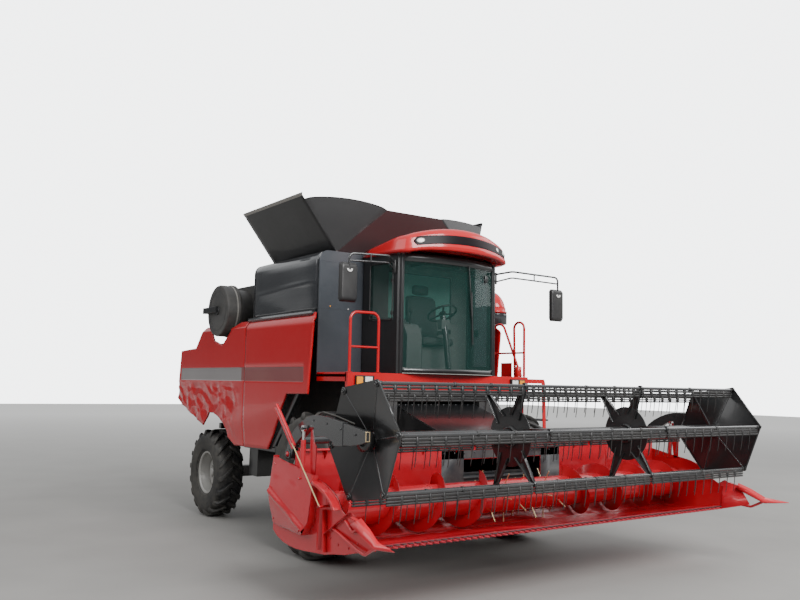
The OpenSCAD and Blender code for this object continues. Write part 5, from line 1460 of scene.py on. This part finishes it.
class HARVESTER_OT_reel(bpy.types.Operator):
    """Make the reel's tube, hexagonal end shields, spiders and its six bats with curved tines"""
    bl_idname = "harvester.reel"
    bl_label = "Reel"

    def execute(self, context):
        sizes = context.scene.harvester_reel
        spokes = [math.radians(BAT_PHASE + 60 * k) for k in range(6)]
        self.end_shields(spokes)
        self.spiders(spokes)
        for k, a in enumerate(spokes):
            self.bat(k + 1, REEL[0] + REEL_R * math.cos(a), REEL[1] + REEL_R * math.sin(a), sizes)
        return {"FINISHED"}

    def end_shields(self, spokes):
        """Hexagonal shields whose folds stand out as narrow beads and whose rim is turned in"""
        x, z = REEL
        shape = Shape("black")
        for s in (-1, 1):
            rows = []
            for scale, y in ((0, 96), (1, 4), (1, 8), (0, 100)):
                r = 84 + (REEL_R + 36 - 84) * scale
                rows.append([(x + r * math.cos(a), s * (REEL_Y - y), z + r * math.sin(a)) for a in spokes])
            shape.use("black").skin(rows, loop=True)
            # the fold beads take the tube finish; its lighter base paints in the highlight along each fold
            shape.use("tube")
            for u, v in map(spoke, spokes):
                rows = []
                for r, y in ((90, 98), (REEL_R + 34, 6)):
                    c = Vector((x, s * (REEL_Y - y), z)) + u * r
                    rows.append([c + v * w + across(s * d) for w, d in (
                        (-9, 0), (-3, 8), (3, 8), (9, 0), (9, -6), (-9, -6))])
                shape.skin(rows)
            shape.use("black")
            c = Vector((x, s * (REEL_Y - 6), z))
            corners = [spoke(a)[0] * (REEL_R + 33) for a in spokes]
            for pair in zip(corners, corners[1:] + corners[:1]):
                shape.skin([[c + v * k - across(s * d) for k, d in ((1, 0), (0.985, 0), (0.985, 16), (1, 16))]
                            for v in pair])
        place(shape, "end_shields", "reel_body", ("reel",), angle=3)

    def spiders(self, spokes):
        x, z = REEL
        shape = Shape("black")
        shape.disc(74, 6 - REEL_Y, REEL_Y - 6, (x, 0, z), steps=36)
        for s in (-1, 1):
            y = s * REEL_Y
            hub = [(33, y - s * 4), (96, y - s * 4), (96, y - s * 70), (33, y - s * 70)]
            shape.turned(hub, (x, 0, z), steps=36)
            for a in spokes:
                at = (x + REEL_R * math.cos(a), 0, z + REEL_R * math.sin(a))
                shape.turned([(17.5, y), (34, y), (34, y - s * 12), (17.5, y - s * 12)], at, steps=20)
        for y in SPIDERS:
            shape.turned([(60, y - 5), (288, y - 5), (290, y), (288, y + 5), (60, y + 5)], (x, 0, z))
            shape.turned([(70, y - 24), (104, y - 24), (104, y + 24), (70, y + 24)], (x, 0, z), steps=36)
            c = Vector((x, y, z))
            for u, v in map(spoke, spokes):
                rows = []
                for r, w in ((200, 64), (REEL_R - 60, 30), (REEL_R - 6, 24)):
                    rows.append([c + u * r + v * e + across(d) for e, d in (
                        (w, 6), (w, -26), (w - 5, -26), (w - 5, 0), (5 - w, 0), (5 - w, -26), (-w, -26),
                        (-w, 6))])
                shape.skin(rows)
                end = c + u * REEL_R
                shape.turned([(17.5, y - 16), (31, y - 16), (31, y + 10), (17.5, y + 10)], (end.x, 0, end.z),
                             steps=20)
        place(shape, "reel_tube_and_spiders", "reel_body", ())

    def bat(self, number, cx, cz, sizes):
        """One bat: its tube and collars, three slats with cells between, and rows of bent tines"""
        pitch, drop = sizes.pitch / MM, sizes.drop / MM - 8
        end, last = REEL_Y + 11, REEL_Y - 40
        # the bat's tube takes the tube finish: black paint lightened a little as painted sheen of the sky
        shape = Shape("tube")
        tube = [(1, -end), (15, -end), (16.8, 3 - end), (16.8, end - 3), (15, end), (1, end)]
        shape.spun(tube, (cx, 0, cz), steps=20)
        shape.use("plastic")
        for y in (-last, -1740, -1300, 0, 440, 1740, last):
            shape.turned([(16, y - 14), (22, y - 12), (22, y + 12), (16, y + 14)], (cx, 0, cz), steps=20)
        for y0, y1 in ((-last, SPIDERS[0] - 32), (SPIDERS[0] + 16, SPIDERS[1] - 32), (SPIDERS[1] + 16, last)):
            for top, low, half in ((-19, -44, 9), (-50, -68, 8), (-74, -92, 9)):
                x0, x1, z0, z1 = cx - half, cx + half, cz + low, cz + top
                shape.prism([(x0, z0), (x1, z0), (x1, z1), (x0, z1)], y0, y1)
            cell = Shape("plastic").box((-6, -5, -86), (6, 5, -12)).moved(cx, y0 + 20, cz)
            shape.copies(cell, int((y1 - y0 - 40) / 150) + 1, step=(0, 150, 0))
        n = int((2 * REEL_Y - 120) / pitch / 2)
        rows = []
        for k in range(8):
            t = k / 7
            r = 5.2 - 1.8 * t
            px, pz = -26 * t * t, -40 - (drop - 40) * t
            rows.append([(px + r * math.cos(q), r * math.sin(q), pz) for q in circle(8)])
        for low, high in ((-n, -6), (-5, 5), (6, n)):
            tine = Shape("plastic").skin(rows)
            tine.skin([[(-a, -b, z), (a, -b, z), (a, b, z), (-a, b, z)]
                       for a, b, z in ((12, 13, -14), (12, 11, -78), (8, 7, -92))])
            tine.outwards()
            shape.copies(tine.moved(cx, low * pitch, cz), high - low + 1, step=(0, pitch, 0))
        place(shape, f"bat_{number}_and_tines", f"bat_{number}", (f"reel_bat_{number}",), angle=40)


class HARVESTER_OT_reel_arms(bpy.types.Operator):
    """Make the reel's arms with their tie tube and a hose"""
    bl_idname = "harvester.reel_arms"
    bl_label = "Reel arms"

    def execute(self, context):
        top = [(2060, 1340), (2095, 1440), (2140, 1505), (2205, 1578), (2290, 1636), (2379, 1679),
               (2480, 1717), (2589, 1740), (2700, 1743), (2794, 1736), (2950, 1718), (3100, 1698)]
        low = [(3100, 1494), (2954, 1486), (2928, 1521), (2870, 1545), (2800, 1556), (2600, 1548),
               (2588, 1628), (2533, 1628), (2460, 1590), (2382, 1540), (2305, 1490), (2228, 1436),
               (2165, 1310), (2095, 1300)]
        nose = [(3095, 1692), (3292, 1664), (3457, 1640), (3461, 1551), (3387, 1530),
                (3233, 1507), (3095, 1500)]
        # the arms take the tube finish, a lighter black that partly paints their sheen and lit top face
        shape = Shape("tube")
        for s in (-1, 1):
            shape.prism(top + low, *between(s, 2631, 2689))
            y0, y1 = between(s, 2637, 2683)
            shape.prism(nose, y0, y1)
            # tan frame of the box end, dark inside
            ring = [[(x, y, z) for y, z in ((y0 + i, 1553 + i), (y1 - i, 1553 + i), (y1 - i, 1638 - i),
                                            (y0 + i, 1638 - i))] for x, i in
                    ((3456, 0), (3463, 0), (3463, 9), (3456, 9))]
            shape.use("zinc").skin(ring, loop=True)
            shape.use("tube")
            shape.disc(29, *between(s, 2561, 2680), (REEL[0], 0, REEL[1]))
            y0, y1 = between(s, 2689, 2697)
            shape.turned([(30, y0), (52, y0), (52, y1), (30, y1)], ARM_PIVOT, steps=28)
            shape.disc(12, *between(s, 2660, 2757), (2475, 0, 1615), steps=20)
            for x, z in ((2590, 1694), (2830, 1676), (3070, 1640), (3300, 1604)):
                shape.disc(11, y0, y1, (x, 0, z), steps=6)
        shape.pipe([(2175, -2655, 1480), (2175, 2655, 1480)], 36, sides=24)
        shape.use("hose").pipe([(2150, -2580, 1530), (2420, -2618, 1690), (2640, -2620, 1772),
                                (2900, -2618, 1740), (3180, -2615, 1690)], 8, 90, 8)
        place(shape, "arm_boxes", "arms", ("reel_arms",), bevel=3)
        return {"FINISHED"}


class HARVESTER_OT_fittings(bpy.types.Operator):
    """Make the feeder's cover with the covers of its side drive, and the works beside the wheels"""
    bl_idname = "harvester.fittings"
    bl_label = "Fittings"

    def execute(self, context):
        shape = Shape("black")
        plate = [(2128, 1290), (1902, 1482), (952, 1792), (960, 1801), (1908, 1492), (2134, 1299)]
        shape.prism(plate, -640, 640)
        bolt = Shape("black").spun([(1, 0), (11, 0), (11, 7), (7, 11), (1, 11)], (0, 0, 0), "z", 6)
        bolt.moved(1000, -600, 1786, turn=0.316)
        shape.use("plate").copies(bolt, 13, step=(0, 100, 0))
        shape.use("black")
        for x, z, r, y in ((865, 1600, 210, -720), (1420, 1330, 120, -700), (2060, 930, 150, -700)):
            shape.spun([(1, y), (r - 18, y), (r, y - 14), (r, y - 24), (r - 18, y - 34), (r * 0.4, y - 34),
                        (r * 0.3, y - 44), (1, y - 44)], (x, 0, z), steps=48)
        shape.pipe([(1500, -690, 1280), (2050, -690, 960)], 40, sides=16)
        place(shape, "feeder_cover", "header", ())
        shape = Shape("black")
        for s in (-1, 1):
            # posts above the rear wheel, box ahead of it and the frame's side members
            y0, y1 = between(s, 905, 1180)
            for x in (-3060, -2560):
                shape.box((x - 45, y0, 1292), (x + 45, y1, 1380))
            y0, y1 = between(s, 770, 1260)
            shape.box((-1780, y0, 700), (-1500, y1, 1100))
            shape.prism([(-1500, 1120), (-420, 1120), (-420, 1180), (-1500, 1180)], *between(s, 902, 1480))
            shape.prism([(-650, 1185), (-560, 1185), (120, 1960), (60, 2010)], *between(s, 1420, 1480))
        place(shape, "side_works", ROOT, (), bevel=8)
        return {"FINISHED"}


# Stage

# solved from the photograph: place in metres, angles in degrees, focal length and sensor in mm
CAMERA = {"at": (9.204, -6.434, 2.036), "yaw": 54.64, "pitch": 5.93, "roll": 1.10, "lens": 36.64,
          "sensor": 36.0}
FLOOR_HALF = 60
# place, aim, size in metres, power in watts
LIGHTS = {
    "key": ((14.0, -1.0, 11.0), (1.5, 0, 1.5), 9.0, 4200),
    "side": ((-2.0, -13.0, 10.0), (-1, 0, 1.5), 9.0, 500),
    "left": ((4.0, 12.0, 8.0), (0.5, 0, 2), 8.0, 500),
}
# height in the sky, from below the horizon up to the zenith, and how bright it is in reflections
SKY_BAND = ((0.0, 0.42), (0.165, 0.38), (0.185, 0.12), (0.3, 0.16), (0.42, 0.9), (1.0, 1.15))


class HARVESTER_OT_stage(bpy.types.Operator):
    """Make the floor, the lights and the camera"""
    bl_idname = "harvester.stage"
    bl_label = "Stage"

    def execute(self, context):
        self.floor(context.scene)
        self.sky(context.scene)
        self.lights(context.scene)
        self.camera(context.scene)
        return {"FINISHED"}

    def floor(self, scene):
        floor = bpy.data.meshes.new("floor")
        corners = ((-1, -1), (1, -1), (1, 1), (-1, 1))
        floor.from_pydata([(x * FLOOR_HALF, y * FLOOR_HALF, 0) for x, y in corners], [], [(0, 1, 2, 3)])
        ground = bpy.data.objects.new("floor", floor)
        scene.collection.objects.link(ground)
        pale = bpy.data.materials.new("floor")
        pale.use_nodes = True
        tree = pale.node_tree
        where = add(tree, "ShaderNodeTexCoord").outputs["Object"]
        cloud = add(tree, "ShaderNodeTexNoise", {"Vector": where, "Scale": 0.8, "Detail": 5.0}).outputs[0]
        away = add(tree, "ShaderNodeVectorMath", {0: where}, operation="LENGTH").outputs["Value"]
        near = blend(tree, cloud, (0.2, 0.195, 0.185, 1), (0.27, 0.262, 0.25, 1))
        tone = blend(tree, span(tree, away, 6.0, 40.0), near, (0.8, 0.79, 0.77, 1))
        shader = tree.nodes["Principled BSDF"]
        tree.links.new(tone, shader.inputs["Base Color"])
        shader.inputs["Roughness"].default_value = 0.7
        floor.materials.append(pale)

    def lights(self, scene):
        for name, (at, aim, size, power) in LIGHTS.items():
            light = bpy.data.lights.new(name, "AREA")
            light.energy, light.size = power, size
            lamp = bpy.data.objects.new(name, light)
            scene.collection.objects.link(lamp)
            lamp.location = at
            lamp.rotation_euler = (Vector(aim) - Vector(at)).to_track_quat("-Z", "Y").to_euler()

    def camera(self, scene):
        """The camera at the place and the angles solved from the photograph"""
        yaw, pitch, roll = (math.radians(CAMERA[k]) for k in ("yaw", "pitch", "roll"))
        ahead = Vector((-math.sin(yaw) * math.cos(pitch), math.cos(yaw) * math.cos(pitch), math.sin(pitch)))
        right = Vector((math.cos(yaw), math.sin(yaw), 0))
        up = right.cross(ahead)
        right, up = (math.cos(roll) * right + math.sin(roll) * up,
                     -math.sin(roll) * right + math.cos(roll) * up)
        data = bpy.data.cameras.new("camera")
        data.lens, data.sensor_width = CAMERA["lens"], CAMERA["sensor"]
        data.clip_end = 300
        camera = bpy.data.objects.new("camera", data)
        scene.collection.objects.link(camera)
        turned = Matrix((right, up, -ahead)).transposed().to_4x4()
        camera.matrix_world = Matrix.Translation(CAMERA["at"]) @ turned
        scene.camera = camera

    def sky(self, scene):
        """A pale studio sky, with a dim band at the horizon that only reflections see"""
        world = bpy.data.worlds.new("studio")
        scene.world = world
        world.use_nodes = True
        tree = world.node_tree
        up = add(tree, "ShaderNodeSeparateXYZ", {0: add(tree, "ShaderNodeTexCoord").outputs["Generated"]})
        ramp = add(tree, "ShaderNodeValToRGB", {0: span(tree, up.outputs[2], -0.2, 1.0)})
        elements = ramp.color_ramp.elements
        while len(elements) < len(SKY_BAND):
            elements.new(0.5)
        for element, (height, tone) in zip(elements, SKY_BAND):
            element.position = height
            element.color = (tone * 0.985, tone, tone * 1.01, 1)
        seen = add(tree, "ShaderNodeLightPath").outputs["Is Camera Ray"]
        back = tree.nodes["Background"]
        tree.links.new(blend(tree, seen, ramp.outputs[0], (5.0, 5.1, 5.15, 1)), back.inputs[0])
        back.inputs[1].default_value = 0.95


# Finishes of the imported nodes

# a bat is plastic, a tyre rubber, a rim silver, and any other node that isn't listed black
KEPT_FINISH = {
    "separator_body": "works", "rear_hood": "red", "right_side_panel": "red", "left_side_panel": "red",
    "grain_tank": "tank", "tank_extension": "leaf", "engine": "works", "screen_drum": "screen",
    "platform": "red", "cab_glass": "glass", "door_glass": "glass", "cab_roof": "red",
    "cab_interior": "trim", "handrails": "red", "unloader_tube": "red", "header_frame": "header_red",
    "header_ends": "header_red", "cutter_bar": "header_red", "header_auger": "header_red",
    "header_lift_rods": "rod", "reel_lift_barrels": "header_red", "reel_lift_rods": "rod",
}
PARTS_FINISH = {"bat": "plastic", "tyre": "rubber", "rim": "rim"}


class HARVESTER_OT_node_finishes(bpy.types.Operator):
    """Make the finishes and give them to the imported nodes"""
    bl_idname = "harvester.node_finishes"
    bl_label = "Finishes"

    def execute(self, context):
        make_finishes(context.scene.harvester_paint)
        make_repeat()
        make_pipe()
        for name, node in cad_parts.items():
            found = [label for part, label in PARTS_FINISH.items() if part in name] + ["black"]
            node.data.materials.clear()
            node.data.materials.append(FINISHES[KEPT_FINISH.get(name, found[0])])
        return {"FINISHED"}


# Panel and registration

PIECES = (
    HARVESTER_OT_node_finishes, HARVESTER_OT_side_panels, HARVESTER_OT_tank, HARVESTER_OT_air_screen,
    HARVESTER_OT_cab, HARVESTER_OT_platform, HARVESTER_OT_unloader, HARVESTER_OT_wheels,
    HARVESTER_OT_header, HARVESTER_OT_cutter_bar, HARVESTER_OT_auger, HARVESTER_OT_reel,
    HARVESTER_OT_reel_arms, HARVESTER_OT_fittings, HARVESTER_OT_stage)


class HARVESTER_PT_pieces(bpy.types.Panel):
    """Lists the sizes, the colours and the pieces"""
    bl_label = "Harvester"
    bl_idname = "HARVESTER_PT_pieces"
    bl_space_type = "VIEW_3D"
    bl_region_type = "UI"
    bl_category = "Harvester"

    def draw(self, context):
        for settings in (context.scene.harvester_paint, context.scene.harvester_tread,
                         context.scene.harvester_reel):
            box = self.layout.box()
            for key in settings.__annotations__:
                box.prop(settings, key)
        for piece in PIECES:
            self.layout.operator(piece.bl_idname)


CLASSES = (PaintSettings, TreadSettings, ReelSettings, *PIECES, HARVESTER_PT_pieces)
SETTINGS = {"harvester_paint": PaintSettings, "harvester_tread": TreadSettings,
            "harvester_reel": ReelSettings}


def register():
    for cls in CLASSES:
        bpy.utils.register_class(cls)
    for name, cls in SETTINGS.items():
        setattr(bpy.types.Scene, name, bpy.props.PointerProperty(type=cls))


def unregister():
    for name in SETTINGS:
        delattr(bpy.types.Scene, name)
    for cls in reversed(CLASSES):
        bpy.utils.unregister_class(cls)


def main():
    register()
    for piece in PIECES:
        group_name, call = piece.bl_idname.split(".")
        getattr(getattr(bpy.ops, group_name), call)()


if __name__ == "__main__":
    main()
